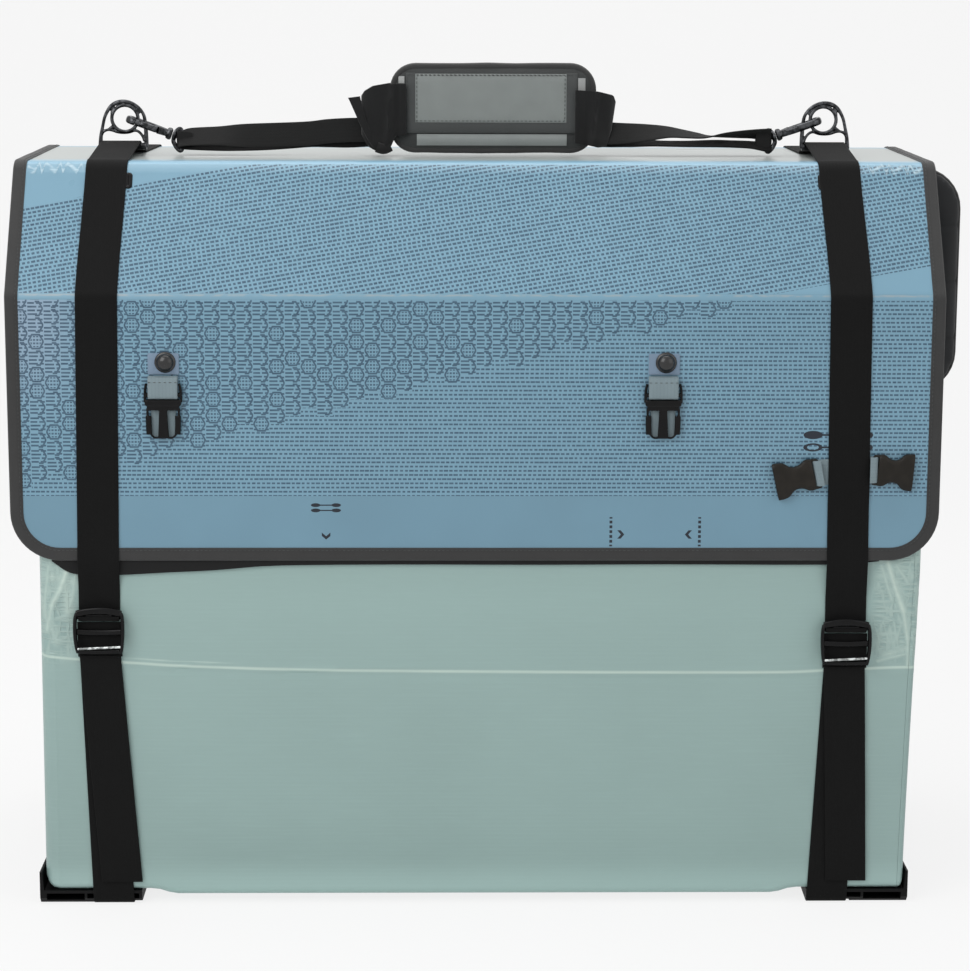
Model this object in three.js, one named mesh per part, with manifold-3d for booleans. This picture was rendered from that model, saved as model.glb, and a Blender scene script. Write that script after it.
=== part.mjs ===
// A tandem folding kayak, folded up as its own carrying box.
// The hull sheet lies zigzag in itself as a nest of U-shaped walls, the floorboard wraps
// over the top as the lid, and two webbing straps with rings carry the lot.
// Millimetres, +X to the right of the front, +Y to the back, +Z up, origin on the ground
// under the middle of the whole. Places below are measured from the middle of the hull.
import * as THREE from 'three';
import { mergeVertices } from 'three/addons/utils/BufferGeometryUtils.js';
import Module from 'manifold-3d';

const wasm = await Module();
wasm.setup();

// Hull: one corrugated plastic sheet, folded at its transverse creases
const hullWidth = 860;
const hullDepth = 400;
const sheet = 4.5;
const layerPitch = 6;
const hullCorner = 10;
const foldLead = 1;
const tipLength = 310;
const innerWallBelowChine = 22;
const innerWallStep = 5;
const scoreHeight = 239;
const scoreDepth = 1;
const scoreHalfWidth = 3;
const deckFlapShort = 14;
const deckFlapTravel = THREE.MathUtils.degToRad(60);

// Lid: the floorboard, folded over the hull along four creases
const lidOverhang = 23;
const lidGap = 1.5;
const lidChineRun = 84;
const lidChineRise = 123;
const chineHeight = 612;
const lidHem = 358;
const lidSheet = 4.5;
const lidCorner = 48;
const creaseGap = 0.3;
const creaseRelief = 1.2;
const bindingWidth = 13;
const bindingProud = 1.2;
const bindingWeb = 1.5;
const slotWidth = 4.5;
const slotLength = 13;
const slotFromStrap = 4;
const slotFromCrease = 6;

// Skids under the two lower corners
const skidHeight = 13.7;
const skidProud = 5;
const skidLip = 2;
const skidWall = 3;
const skidUprightHeight = 33;
const skidUprightWall = 4;
const skidRib = 2.5;
const skidRibFromOuter = 47;
const skidNose = 6;

// Body straps
const webbing = 1.6;
const strapWidth = 42;
const strapTopInset = 72;
const strapChineInset = 67;
const strapLockInset = 63;
const strapFootInset = 74;
const strapHemInset = 64;
const seat = 0.3;
const strapEndGap = 0.6;
const tailHem = 24;
const strapBottom = 0.3;
const strapBend = 5;

// Ladder locks that tighten the body straps
const lockBelowHem = { left: 61, right: 73 };
const lockBarRadius = 3;
const lockDrop = 37;
const lockWall = 3.5;
const lockSideClearance = 0.8;
const lockBarDrop = 17.5;
const lockBarHeight = 6;
const lockBarThick = 5.2;
const lockLowerBar = 6;
const lockFront = 4.6;
const lockBulge = 2.4;
const lockLip = 4;
const lockLipRise = 7;
const loopTailDrop = 40;

// Carrying rings on the lid
const ringInset = 74;
const ringY = -30;
const ringBarRise = 9;
const ringBarRadius = 3.6;
const ringSideClearance = 1.3;
const ringTaper = 2.4;
const ringArchRise = 25;
const ringHole = 12.8;
const ringHoleRise = 28;
const ringWall = 3.1;
const ringThick = 4.6;
const ringBevel = 0.7;
const ringWebRise = 13.4;
const strapHumpReach = 27;

// Swivel snap hooks
const hookNoseX = 4.3;
const hookLength = 40;
const hookBow = 4.6;
const hookWindow = 29;
const hookWindowGateSide = 8;
const hookWindowBackSide = 4.5;
const hookSideWall = 4.3;
const hookThick = 8;
const gateThick = 6.4;
const gateGap = 0.3;
const gateStart = 5.2;
const swivelCollar = 4.6;
const swivelPin = 2;
const swivelPinClearance = 0.25;
const swivelPinDepth = 4;
const swivelGap = 0.4;
const swivelCollarLength = 4;
const eyeWire = 2;
const eyeReach = 8;
const eyeAboveLid = 2;

// Shoulder strap and its pad
const carryWidth = 25;
const padWidth = 208;
const padHeight = 92.5;
const padX = 20;
const padBelowAxis = 4.5;
const padEdge = 4;
const padCrown = 11;
const padCorner = 27;
const padDrawIn = 1.5;
const padChannelRise = 17;
const padChannelDepth = 1.2;
const bandOverPad = 16;
const bandBeyondLeft = 40;
const bandBeyondRight = 20;
const bandLeftHeight = 64;
const bandRightHeight = 57;
const bandBase = 2;
const bandClearance = 0.4;

// Side-release buckles on the lid
const plugLeftInset = 128;
const plugRightInset = 249;
const rivetBelowChine = 65;
const rivetDome = 7;
const rivetRise = 4.2;
const rivetShank = 2.6;
const rivetClearance = 0.3;
const washerWidth = 25;
const washerHeight = 20;
const washerThick = 0.8;
const tabWidth = 32;
const tabTop = 15;
const tabDrop = 38;
const maleWidth = 35;
const maleThick = 6.4;
const maleBar = 2.2;
const maleBase = 11;
const maleProng = 31;
const maleGuide = 9;
const maleWaist = 3;
const femaleAboveHem = 78;
const femaleBarOut = 8;
const femaleStripShift = 3;
const femaleLength = 40;
const femaleMouth = 40;
const femaleThick = 8;
const femaleBore = 5;
const femaleStripWidth = 22;
const femaleBumpReach = 16;

// Gear inside the hull
const gearY = -45;
const gearSpacing = 38;
const backrestWidth = 400;
const backrestHeight = 232;
const backrestThick = 24;
const backrestCorner = 42;
const backrestBelowTop = 13;
const rearBackrestInset = 130;
const frontBackrestInset = 210;
const panWidth = 340;
const panThick = 30;
const panCorner = 30;
const rearPanInset = 175;
const frontPanInset = 200;
const cushionEdgeShare = 0.36;
const cushionDrawIn = 3;
const crossbarEndGap = 70;
const crossbarRadius = 11;
const crossbarWall = 1.5;
const crossbarClipWidth = 34;
const crossbarClipHeight = 44;
const crossbarClipThick = 6;
const crossbarFromWall = 41.5;
const crossbarSpacing = 50;

// Facet counts
const foldFacets = 5;
const cornerFacets = 4;
const roundFacets = 20;
const smallFacets = 12;

// Cuts run past the faces that they open by this much
const overrun = 2;

// Places that follow from the sizes above
const hullHalf = hullWidth / 2;
const lidHalf = hullHalf + lidOverhang;
const lidDepth = hullDepth + (lidSheet + lidGap) * 2;
const lidTopDepth = lidDepth - lidChineRun * 2;
const lidTopHeight = chineHeight + lidChineRise;
const strapAtTop = hullHalf - strapTopInset;
const strapAtChine = hullHalf - strapChineInset;
const strapAtLock = hullHalf - strapLockInset;
const strapAtFoot = hullHalf - strapFootInset;
const strapAtBackHem = hullHalf - strapHemInset;
const skidOuter = hullHalf + skidProud;
const skidInner = strapAtFoot - strapWidth / 2 - skidLip;
const ringX = hullHalf - ringInset;
const ringHalfFoot = strapWidth / 2 + ringSideClearance + ringWall;
const ringArch = ringHalfFoot - ringTaper;
const rivetHeight = chineHeight - rivetBelowChine;
const femaleHeight = lidHem + femaleAboveHem;

// Materials
const hullGreen = { color: 0x93aeaa, roughness: 0.55, metalness: 0 };
const floorBlue = { color: 0x739bb3, roughness: 0.5, metalness: 0 };
const bindingGrey = { color: 0x37383a, roughness: 0.9, metalness: 0 };
const webbingBlack = { color: 0x1b1b1c, roughness: 0.9, metalness: 0 };
const plasticBlack = { color: 0x1d1e20, roughness: 0.4, metalness: 0 };
const tabGrey = { color: 0x71808a, roughness: 0.85, metalness: 0 };
const gunmetal = { color: 0x55575a, roughness: 0.3, metalness: 0.9 };
const padGrey = { color: 0x5f6363, roughness: 0.9, metalness: 0 };
const seatBlack = { color: 0x222325, roughness: 0.95, metalness: 0 };
const tubeSilver = { color: 0xa8abad, roughness: 0.4, metalness: 0.9 };

const axisX = new THREE.Vector3(1, 0, 0);
const axisY = new THREE.Vector3(0, 1, 0);
const axisZ = new THREE.Vector3(0, 0, 1);

const kayak = new THREE.Group();

// Turns a closed geometry into a solid that can be cut and joined
function solidOf(geometry) {
  const bare = new THREE.BufferGeometry();
  bare.setAttribute('position', geometry.attributes.position);
  bare.setIndex(geometry.index);
  const merged = mergeVertices(bare);
  const mesh = new wasm.Mesh({
    numProp: 3,
    vertProperties: new Float32Array(merged.attributes.position.array),
    triVerts: new Uint32Array(merged.index.array),
  });
  return new wasm.Manifold(mesh);
}

function geometryOf(solid) {
  const mesh = solid.getMesh();
  const geometry = new THREE.BufferGeometry();
  geometry.setAttribute('position', new THREE.BufferAttribute(mesh.vertProperties, 3));
  geometry.setIndex(new THREE.BufferAttribute(mesh.triVerts, 1));
  geometry.computeVertexNormals();
  return geometry;
}

function join(first, ...others) {
  return geometryOf(others.reduce((sum, other) => sum.add(solidOf(other)), solidOf(first)));
}

function carve(first, ...cutters) {
  return geometryOf(cutters.reduce((rest, cutter) => rest.subtract(solidOf(cutter)), solidOf(first)));
}

function overlapOf(first, second) {
  return geometryOf(solidOf(first).intersect(solidOf(second)));
}

function place(name, geometry, finish, parent = kayak) {
  const mesh = new THREE.Mesh(geometry, new THREE.MeshStandardMaterial(finish));
  mesh.name = name;
  parent.add(mesh);
  return mesh;
}

function groupAt(x, y, z, parent = kayak) {
  const group = new THREE.Group();
  group.position.set(x, y, z);
  parent.add(group);
  return group;
}

// Extrusions of an outline along each axis of the frame
function extrude(outline, depth, holes = [], bevel = 0) {
  const shape = new THREE.Shape(anticlockwise(outline));
  shape.holes = holes.map((hole) => new THREE.Path(anticlockwise(hole)));
  const options = { depth: depth - bevel - bevel, bevelEnabled: bevel > 0, bevelSegments: 1 };
  const rims = { bevelThickness: bevel, bevelSize: bevel, bevelOffset: -bevel };
  return new THREE.ExtrudeGeometry(shape, { ...options, ...rims }).translate(0, 0, bevel);
}

function anticlockwise(outline) {
  const points = outline.map(([a, b]) => new THREE.Vector2(a, b));
  return THREE.ShapeUtils.isClockWise(points) ? points.reverse() : points;
}

function prismX(outline, from, to, holes) {
  const turn = new THREE.Matrix4().makeBasis(axisY, axisZ, axisX);
  return extrude(outline, to - from, holes).applyMatrix4(turn).translate(from, 0, 0);
}

function prismY(outline, from, to, holes, bevel) {
  const turn = new THREE.Matrix4().makeBasis(axisX, axisZ, axisY.clone().negate());
  return extrude(outline, to - from, holes, bevel).applyMatrix4(turn).translate(0, to, 0);
}

function prismZ(outline, from, to, holes, bevel) {
  return extrude(outline, to - from, holes, bevel).translate(0, 0, from);
}

function block(x, y, z) {
  const geometry = new THREE.BoxGeometry(x[1] - x[0], y[1] - y[0], z[1] - z[0]);
  return geometry.translate((x[0] + x[1]) / 2, (y[0] + y[1]) / 2, (z[0] + z[1]) / 2);
}

// A round bar along X, through the point y, z
function barX(radius, from, to, y = 0, z = 0, sides = smallFacets) {
  const geometry = new THREE.CylinderGeometry(radius, radius, to - from, sides);
  return geometry.rotateZ(Math.PI / 2).translate((from + to) / 2, y, z);
}

// A round bar along Y, through the point x, z
function barY(radius, from, to, x = 0, z = 0, sides = smallFacets) {
  const geometry = new THREE.CylinderGeometry(radius, radius, to - from, sides);
  return geometry.translate(x, (from + to) / 2, z);
}

// Points on an arc from one angle to another, in radians
function arc(centreA, centreB, radius, from, to, steps) {
  const points = [];
  for (let i = 0; i <= steps; i += 1) {
    const angle = from + ((to - from) * i) / steps;
    points.push([centreA + radius * Math.cos(angle), centreB + radius * Math.sin(angle)]);
  }
  return points;
}

// The outline of a rectangle with rounded corners, anticlockwise
function roundedRect(left, right, bottom, top, radius, steps = cornerFacets) {
  const quarter = Math.PI / 2;
  return [
    ...arc(right - radius, bottom + radius, radius, -quarter, 0, steps),
    ...arc(right - radius, top - radius, radius, 0, quarter, steps),
    ...arc(left + radius, top - radius, radius, quarter, Math.PI, steps),
    ...arc(left + radius, bottom + radius, radius, Math.PI, Math.PI + quarter, steps),
  ];
}

// A flat line moved to its left by a distance, mitred at its bends
function offsetLine(line, distance) {
  const heading = (i) => {
    const [a, b] = [line[i], line[i + 1]];
    return new THREE.Vector2(b[0] - a[0], b[1] - a[1]).normalize();
  };
  const last = line.length - 1;
  return line.map(([a, b], i) => {
    const before = heading(Math.max(i - 1, 0));
    const after = heading(Math.min(i, last - 1));
    const along = before.clone().add(after).normalize();
    const reach = distance / along.dot(before);
    return [a - along.y * reach, b + along.x * reach];
  });
}

// The outline of a strip of even thickness whose middle follows a line
function stripOutline(line, thickness) {
  const left = offsetLine(line, thickness / 2);
  const right = offsetLine(line, -thickness / 2);
  return [...right, ...left.reverse()];
}

// A skin through rings of points that all have the same count, closed by flat ends.
// The outline is the ring's flat shape, from which the ends are filled.
function loft(rings, outline) {
  const count = rings[0].length;
  const positions = rings.flat().flatMap((point) => [point.x, point.y, point.z]);
  const indices = [];
  for (let r = 0; r + 1 < rings.length; r += 1) {
    for (let i = 0; i < count; i += 1) {
      const here = r * count + i;
      const next = r * count + ((i + 1) % count);
      indices.push(here, next, next + count, here, next + count, here + count);
    }
  }
  const flat = outline.map(([a, b]) => new THREE.Vector2(a, b));
  const lastRing = (rings.length - 1) * count;
  for (const [a, b, c] of THREE.ShapeUtils.triangulateShape(flat, [])) {
    const turned = THREE.ShapeUtils.isClockWise(flat) ? [a, c, b] : [a, b, c];
    indices.push(turned[2], turned[1], turned[0]);
    indices.push(...turned.map((corner) => lastRing + corner));
  }
  const geometry = new THREE.BufferGeometry();
  geometry.setAttribute('position', new THREE.BufferAttribute(new Float32Array(positions), 3));
  geometry.setIndex(indices);
  return outward(geometry);
}

// Turns every face round when the closed skin would hold a negative volume
function outward(geometry) {
  const position = geometry.attributes.position;
  const index = geometry.index.array;
  const [a, b, c] = [new THREE.Vector3(), new THREE.Vector3(), new THREE.Vector3()];
  let volume = 0;
  for (let i = 0; i < index.length; i += 3) {
    a.fromBufferAttribute(position, index[i]);
    b.fromBufferAttribute(position, index[i + 1]);
    c.fromBufferAttribute(position, index[i + 2]);
    volume += a.dot(b.cross(c));
  }
  if (volume < 0) {
    const turned = Array.from(index);
    for (let i = 0; i < turned.length; i += 3) {
      [turned[i], turned[i + 1]] = [turned[i + 1], turned[i]];
    }
    geometry.setIndex(turned);
  }
  return geometry;
}

// A flat strap laid along a path in Y and Z, with the middle of its width at x.
// Each path point is [x, y, z] on the face that lies against the box.
function layStrap(path, width = strapWidth, thickness = webbing) {
  const inner = path.map(([, y, z]) => [y, z]);
  const outer = offsetLine(inner, thickness);
  const rings = path.map(([x], i) => [
    new THREE.Vector3(x - width / 2, ...inner[i]),
    new THREE.Vector3(x + width / 2, ...inner[i]),
    new THREE.Vector3(x + width / 2, ...outer[i]),
    new THREE.Vector3(x - width / 2, ...outer[i]),
  ]);
  return loft(rings, [[0, 0], [width, 0], [width, thickness], [0, thickness]]);
}

// The hull

const halfPi = Math.PI / 2;
const foldRadius = layerPitch / 2;
const foldOuter = foldRadius + sheet / 2;
const sternWrap = 4;
const wrapRadius = (sternWrap * layerPitch) / 2;
const wrapOuter = wrapRadius + sheet / 2;
const rightFoldX = hullHalf - foldOuter - foldLead;
const leftFoldX = wrapOuter + foldLead - hullHalf;
const middleOf = (layer) => layer * layerPitch + sheet / 2;

// The lid's outer line in Y and Z, from the front hem over the top to the back hem
const lidLine = [
  [-lidDepth / 2, lidHem],
  [-lidDepth / 2, chineHeight],
  [-lidTopDepth / 2, lidTopHeight],
  [lidTopDepth / 2, lidTopHeight],
  [lidDepth / 2, chineHeight],
  [lidDepth / 2, lidHem],
];
const topBend = Math.atan2(lidChineRise, lidChineRun);
const chineBend = halfPi - topBend;

// The hull's own crease under the lid, where the deck flaps lean in
const flapLine = offsetLine(lidLine, (hullDepth - lidDepth) / 2);
const flapCrease = flapLine[1];
const flapMitre = Math.tan((chineBend + deckFlapTravel) / 2);

// A line round the U of the hull at a depth n inside its outer face
function hullLine(n, top, scored) {
  const half = hullDepth / 2 - n;
  const base = footHeight() + n;
  const dip = scored ? scoreDepth : 0;
  const score = [
    [half, scoreHeight + scoreHalfWidth],
    [half - dip, scoreHeight],
    [half, scoreHeight - scoreHalfWidth],
  ];
  const side = [[half, top(n)], ...(scored ? score : [])];
  const corner = arc(half - hullCorner, base + hullCorner, hullCorner, 0, -halfPi, cornerFacets);
  const right = [...side, ...corner];
  const left = right.map(([y, z]) => [-y, z]).reverse();
  return [...right, ...left];
}

function footHeight() {
  return skidHeight + seat;
}

// A part of the hull sheet: its folded edge, as an outline in X and depth, swept round the U
function foldedSheet(line, top, scored = false) {
  const outline = stripOutline(line, sheet);
  const lines = outline.map(([, n]) => hullLine(n, top, scored));
  const rings = lines[0].map((unused, i) => outline.map(([x], k) => new THREE.Vector3(x, ...lines[k][i])));
  return loft(rings, outline);
}

// The half round folds that join one layer to a deeper one
function rightFold(layer) {
  const bend = arc(rightFoldX + foldLead, middleOf(layer) + foldRadius, foldRadius, -halfPi, halfPi, foldFacets);
  return [[rightFoldX, middleOf(layer)], ...bend];
}

function leftFold(x, layer, radius = foldRadius, facets = foldFacets) {
  const bend = arc(x - foldLead, middleOf(layer) + radius, radius, -halfPi, -halfPi - Math.PI, facets);
  return [[x, middleOf(layer)], ...bend];
}

const middleTop = (n) => flapCrease[1] - creaseGap / 2 - n * flapMitre;
const middleLine = [[leftFoldX + creaseGap, middleOf(0)], [rightFoldX - creaseGap, middleOf(0)]];
place('hull_middle_section', foldedSheet(middleLine, middleTop, true), hullGreen);

const levelTop = (layer) => () => chineHeight - innerWallBelowChine - layer * innerWallStep;
const bowLine = [...rightFold(0), [leftFoldX + creaseGap, middleOf(1)]];
place('bow_section', foldedSheet(bowLine, levelTop(1)), hullGreen);

const bowTipLine = [
  ...leftFold(leftFoldX, 1),
  ...rightFold(2),
  [rightFoldX - tipLength, middleOf(3)],
];
place('bow_tip_section', foldedSheet(bowTipLine, levelTop(2)), hullGreen);

const sternLine = [
  ...leftFold(leftFoldX, 0, wrapRadius, foldFacets + foldFacets),
  [rightFoldX - creaseGap, middleOf(sternWrap)],
];
place('stern_section', foldedSheet(sternLine, levelTop(sternWrap)), hullGreen);

const sternTipLine = [
  ...rightFold(sternWrap),
  ...leftFold(-rightFoldX, sternWrap + 1),
  [tipLength - rightFoldX, middleOf(sternWrap + 2)],
];
place('stern_tip_section', foldedSheet(sternTipLine, levelTop(sternWrap + 1)), hullGreen);
const floorUnderRear = footHeight() + (sternWrap + 1) * layerPitch + sheet;
const floorUnderFront = floorUnderRear + layerPitch;

// The deck flaps, which lean in under the lid's chines
for (const [name, side] of [['front', 1], ['back', -1]]) {
  const along = [Math.cos(topBend), Math.sin(topBend)];
  const length = Math.hypot(lidChineRun, lidChineRise) - deckFlapShort;
  const point = (s, n) => [
    side * (flapCrease[0] + along[0] * s + along[1] * n),
    flapCrease[1] + along[1] * s - along[0] * n,
  ];
  const outline = [
    point(creaseGap / 2, 0),
    point(creaseGap / 2 + sheet * flapMitre, sheet),
    point(length, sheet),
    point(length, 0),
  ];
  const flap = prismX(outline, leftFoldX + creaseGap, rightFoldX - creaseGap);
  place(`deck_flap_${name}`, flap, hullGreen);
}

// The skids: open moulded channels that the hull stands on
for (const [name, side] of [['left', -1], ['right', 1]]) {
  const grooveTop = strapBottom + webbing + seat;
  const grooveStart = strapAtFoot + strapWidth / 2 + seat;
  const out = skidOuter - skidUprightWall;
  const profile = [
    [skidOuter, 0],
    [skidOuter, skidUprightHeight],
    [skidOuter - skidUprightWall / 2, skidUprightHeight],
    [out, skidHeight],
    [skidInner, skidHeight],
    [skidInner, grooveTop],
    [grooveStart, grooveTop],
    [grooveStart, 0],
  ];
  const ribAt = skidOuter - skidRibFromOuter;
  const cells = [
    [ribAt + skidRib, out - skidRib, skidWall],
    [skidInner + skidWall, ribAt, grooveTop + skidWall],
  ];
  const windows = cells.map(([from, to, base]) => [
    [from, base],
    [to, base],
    [to, skidHeight - skidWall],
    [from, skidHeight - skidWall],
  ]);
  const mirror = (points) => points.map(([x, z]) => [side * x, z]);
  const ends = hullDepth / 2;
  const body = prismY(mirror(profile), -ends, ends, windows.map(mirror));
  const silhouette = [
    [-ends, skidNose],
    [skidNose - ends, 0],
    [ends - skidNose, 0],
    [ends, skidNose],
    [ends, skidUprightHeight],
    [-ends, skidUprightHeight],
  ];
  place(`skid_${name}`, overlapOf(body, prismX(silhouette, -skidOuter, skidOuter)), plasticBlack);
}

// The lid

const panelBends = [0, chineBend, topBend, topBend, chineBend, 0];

function panelLength(k) {
  const [a, b] = [lidLine[k], lidLine[k + 1]];
  return Math.hypot(b[0] - a[0], b[1] - a[1]);
}

// The point at a distance s along panel k from its front crease, and n out from its face
function panelPoint(k, s, n) {
  const [a, b] = [lidLine[k], lidLine[k + 1]];
  const length = panelLength(k);
  const [y, z] = [(b[0] - a[0]) / length, (b[1] - a[1]) / length];
  return [a[0] + y * s - z * n, a[1] + z * s + y * n];
}

// A panel's section: it ends squarely outside the creases and mitred inside them
function panelSection(k, proud, depth, relief) {
  const length = panelLength(k);
  const near = Math.tan(panelBends[k] / 2);
  const far = Math.tan(panelBends[k + 1] / 2);
  return [
    panelPoint(k, relief, proud),
    panelPoint(k, relief, 0),
    panelPoint(k, relief + depth * near, -depth),
    panelPoint(k, length - relief - depth * far, -depth),
    panelPoint(k, length - relief, 0),
    panelPoint(k, length - relief, proud),
  ];
}

const panelNames = ['lid_front_panel', 'lid_front_chine', 'lid_top_panel', 'lid_back_chine', 'lid_back_panel'];
const channelDepth = lidSheet + bindingProud;
const sheetHalf = lidHalf - bindingWeb - creaseGap;
const sheetHem = lidHem + bindingWeb + creaseGap;

// The hem outline of a front or back panel, in X and Z, with rounded lower corners
function hemOutline(half, hem, radius, top) {
  return [
    [half, top],
    [-half, top],
    ...arc(radius - half, hem + radius, radius, Math.PI, Math.PI + halfPi, cornerFacets + cornerFacets),
    ...arc(half - radius, hem + radius, radius, -halfPi, 0, cornerFacets + cornerFacets),
  ];
}

// The hem panels, cut from a mitred board, and the folded tape sewn round their edges
for (const [k, side, tapeName] of [[0, -1, 'front_panel_binding'], [4, 1, 'back_panel_binding']]) {
  const inside = (lidDepth / 2 - channelDepth) * side;
  const outside = (lidDepth / 2 + bindingProud) * side;
  const [near, far] = [Math.min(inside, outside), Math.max(inside, outside)];
  const board = prismX(panelSection(k, 0, lidSheet, creaseGap / 2), -sheetHalf, sheetHalf);
  const radius = lidCorner - bindingWeb - creaseGap;
  const outline = prismY(hemOutline(sheetHalf, sheetHem, radius, lidTopHeight), near - overrun, far + overrun);
  const holes = k === 0 ? [plugLeftInset - hullHalf, hullHalf - plugRightInset] : [];
  const drills = holes.map((x) => barY(rivetShank + rivetClearance, near - overrun, far + overrun, x, rivetHeight));
  place(panelNames[k], carve(overlapOf(board, outline), ...drills), floorBlue);

  const tapeTop = chineHeight - creaseRelief - (channelDepth + creaseGap) * Math.tan(chineBend / 2);
  const window = hemOutline(lidHalf - bindingWidth, lidHem + bindingWidth, lidCorner - bindingWidth, lidTopHeight);
  const tape = carve(
    prismY(hemOutline(lidHalf, lidHem, lidCorner, tapeTop), near, far),
    prismY(window, near - overrun, far + overrun),
    prismY(
      hemOutline(sheetHalf + creaseGap, sheetHem - creaseGap, lidCorner - bindingWeb, lidTopHeight),
      Math.min(side * (lidDepth / 2 - lidSheet - creaseGap), side * (lidDepth / 2 + creaseGap)),
      Math.max(side * (lidDepth / 2 - lidSheet - creaseGap), side * (lidDepth / 2 + creaseGap)),
    ),
  );
  place(tapeName, tape, bindingGrey);
}

// The top and the two chines, with their sewn edges in one piece with the board
for (const k of [1, 2, 3]) {
  const board = prismX(panelSection(k, 0, lidSheet, creaseGap / 2), -lidHalf, lidHalf);
  const edges = [-1, 1].map((side) => {
    const [a, b] = [side * lidHalf, side * (lidHalf - bindingWidth)];
    const section = panelSection(k, bindingProud, channelDepth, creaseRelief);
    return prismX(section, Math.min(a, b), Math.max(a, b));
  });
  const slots = [-1, 1].map((side) => {
    const x = side * (strapAtTop - strapWidth / 2 - slotFromStrap);
    const front = -lidTopDepth / 2 - slotFromCrease;
    return block([x - slotWidth / 2, x + slotWidth / 2], [front - slotLength, front], [chineHeight, lidTopHeight]);
  });
  const panel = join(board, ...edges);
  place(panelNames[k], k === 1 ? carve(panel, ...slots) : panel, floorBlue);
}

// The body straps, in stretches that each ride on one panel of the lid or on the hull

const strapSides = [['left', -1], ['right', 1]];
const lockHeightOf = (side) => lidHem - (side < 0 ? lockBelowHem.left : lockBelowHem.right);
const lockFootOf = (side) => lockHeightOf(side) - loopTailDrop - strapEndGap;
const barHeight = lidTopHeight + ringBarRise;
const hullFace = hullDepth / 2;
const lidFace = lidDepth / 2 + seat;
const hemFace = lidFace + bindingProud;
const lockY = -(hullFace + seat + webbing + seat + lockBarRadius);
const plyFace = hullFace + seat + webbing + seat;

// How far out a front strap is at a height between the chine and its lock
function frontStrapX(z, side) {
  const share = (chineHeight - z) / (chineHeight - lockHeightOf(side));
  return strapAtChine + (strapAtLock - strapAtChine) * share;
}

// A strap stretch that follows panel k between its two creases
function panelStrap(k, side, xNear, xFar) {
  const near = panelPoint(k, creaseRelief, seat);
  const far = panelPoint(k, panelLength(k) - creaseRelief, seat);
  return layStrap([[side * xNear, ...near], [side * xFar, ...far]]);
}

// Over the lid's top, the strap climbs over the bar of its ring
function topStrap(side) {
  const lean = Math.atan2(ringBarRise - seat, strapHumpReach);
  const over = arc(ringY, barHeight, ringBarRadius + seat, halfPi + lean, halfPi - lean, cornerFacets);
  const hump = [
    [ringY - strapHumpReach, lidTopHeight + seat],
    ...over,
    [ringY + strapHumpReach, lidTopHeight + seat],
  ];
  return layStrap([
    [side * strapAtTop, ...panelPoint(2, creaseRelief, seat)],
    ...hump.map((point) => [side * ringX, ...point]),
    [side * strapAtTop, ...panelPoint(2, panelLength(2) - creaseRelief, seat)],
  ]);
}

// The front strap curls round under its lock's top bar, climbs behind it, passes over the
// lid's hem and runs up the panel. On the right it also bridges the webbing that holds
// the two socket buckles.
function frontStrap(side, bridge) {
  const lockHeight = lockHeightOf(side);
  const curl = arc(lockY, lockHeight, lockBarRadius + seat + webbing, Math.PI, Math.PI + Math.PI, foldFacets * 2);
  const path = [
    ...curl,
    [-hullFace - seat, lockHeight + strapBend],
    [-hemFace, lidHem - strapEndGap],
    [-hemFace, lidHem + bindingWidth + seat],
    [-lidFace, lidHem + bindingWidth + strapBend],
    ...bridge,
    [-lidFace, chineHeight - creaseRelief],
  ];
  return layStrap(path.map(([y, z]) => [side * frontStrapX(Math.max(z, lockHeight), side), y, z]));
}

function backStrap(side) {
  return layStrap([
    [side * strapAtChine, lidFace, chineHeight - creaseRelief],
    [side * strapAtBackHem, lidFace, lidHem + bindingWidth + strapBend],
    [side * strapAtBackHem, hemFace, lidHem + bindingWidth + seat],
    [side * strapAtBackHem, hemFace, lidHem + strapEndGap],
  ]);
}

// From the back hem down the hull, under the skid and up the front to the lock's webbing
function lowerStrap(side) {
  const face = hullFace + seat;
  const base = strapBottom + webbing;
  const backCorner = arc(face - strapBend, base + strapBend, strapBend, 0, -halfPi, cornerFacets);
  const frontCorner = arc(strapBend - face, base + strapBend, strapBend, -halfPi, -Math.PI, cornerFacets);
  return layStrap([
    [side * strapAtBackHem, hemFace, lidHem],
    [side * strapAtBackHem, face, lidHem - bindingWidth * 2],
    ...[...backCorner, ...frontCorner].map((point) => [side * strapAtFoot, ...point]),
    [side * strapAtLock, -face, lockFootOf(side)],
  ]);
}

// The free end that hangs below the lock, in front of the taut strap. The left one lies
// along the taut strap and the right one hangs straight.
function strapTail(side) {
  const foot = side < 0 ? strapAtFoot : strapAtLock;
  return layStrap([[side * foot, -plyFace, tailHem], [side * strapAtLock, -plyFace, lockFootOf(side)]]);
}

const stripTop = femaleHeight + femaleStripWidth / 2;
const stripBase = femaleHeight - femaleStripWidth / 2;
const stripRise = seat + webbing;
const stripBridge = [
  [-lidFace, stripBase - femaleBumpReach],
  [-lidFace - stripRise, stripBase - seat],
  [-lidFace - stripRise, stripTop + seat],
  [-lidFace, stripTop + femaleBumpReach],
];

for (const [name, side] of strapSides) {
  place(`top_strap_${name}`, topStrap(side), webbingBlack);
  place(`front_chine_strap_${name}`, panelStrap(1, side, strapAtChine, strapAtTop), webbingBlack);
  place(`front_strap_${name}`, frontStrap(side, side > 0 ? stripBridge : []), webbingBlack);
  place(`back_chine_strap_${name}`, panelStrap(3, side, strapAtTop, strapAtChine), webbingBlack);
  place(`back_strap_${name}`, backStrap(side), webbingBlack);
  place(`lower_strap_${name}`, lowerStrap(side), webbingBlack);
  place(`strap_tail_${name}`, strapTail(side), webbingBlack);
}

// The ladder locks, about the axis of their top bar

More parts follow.
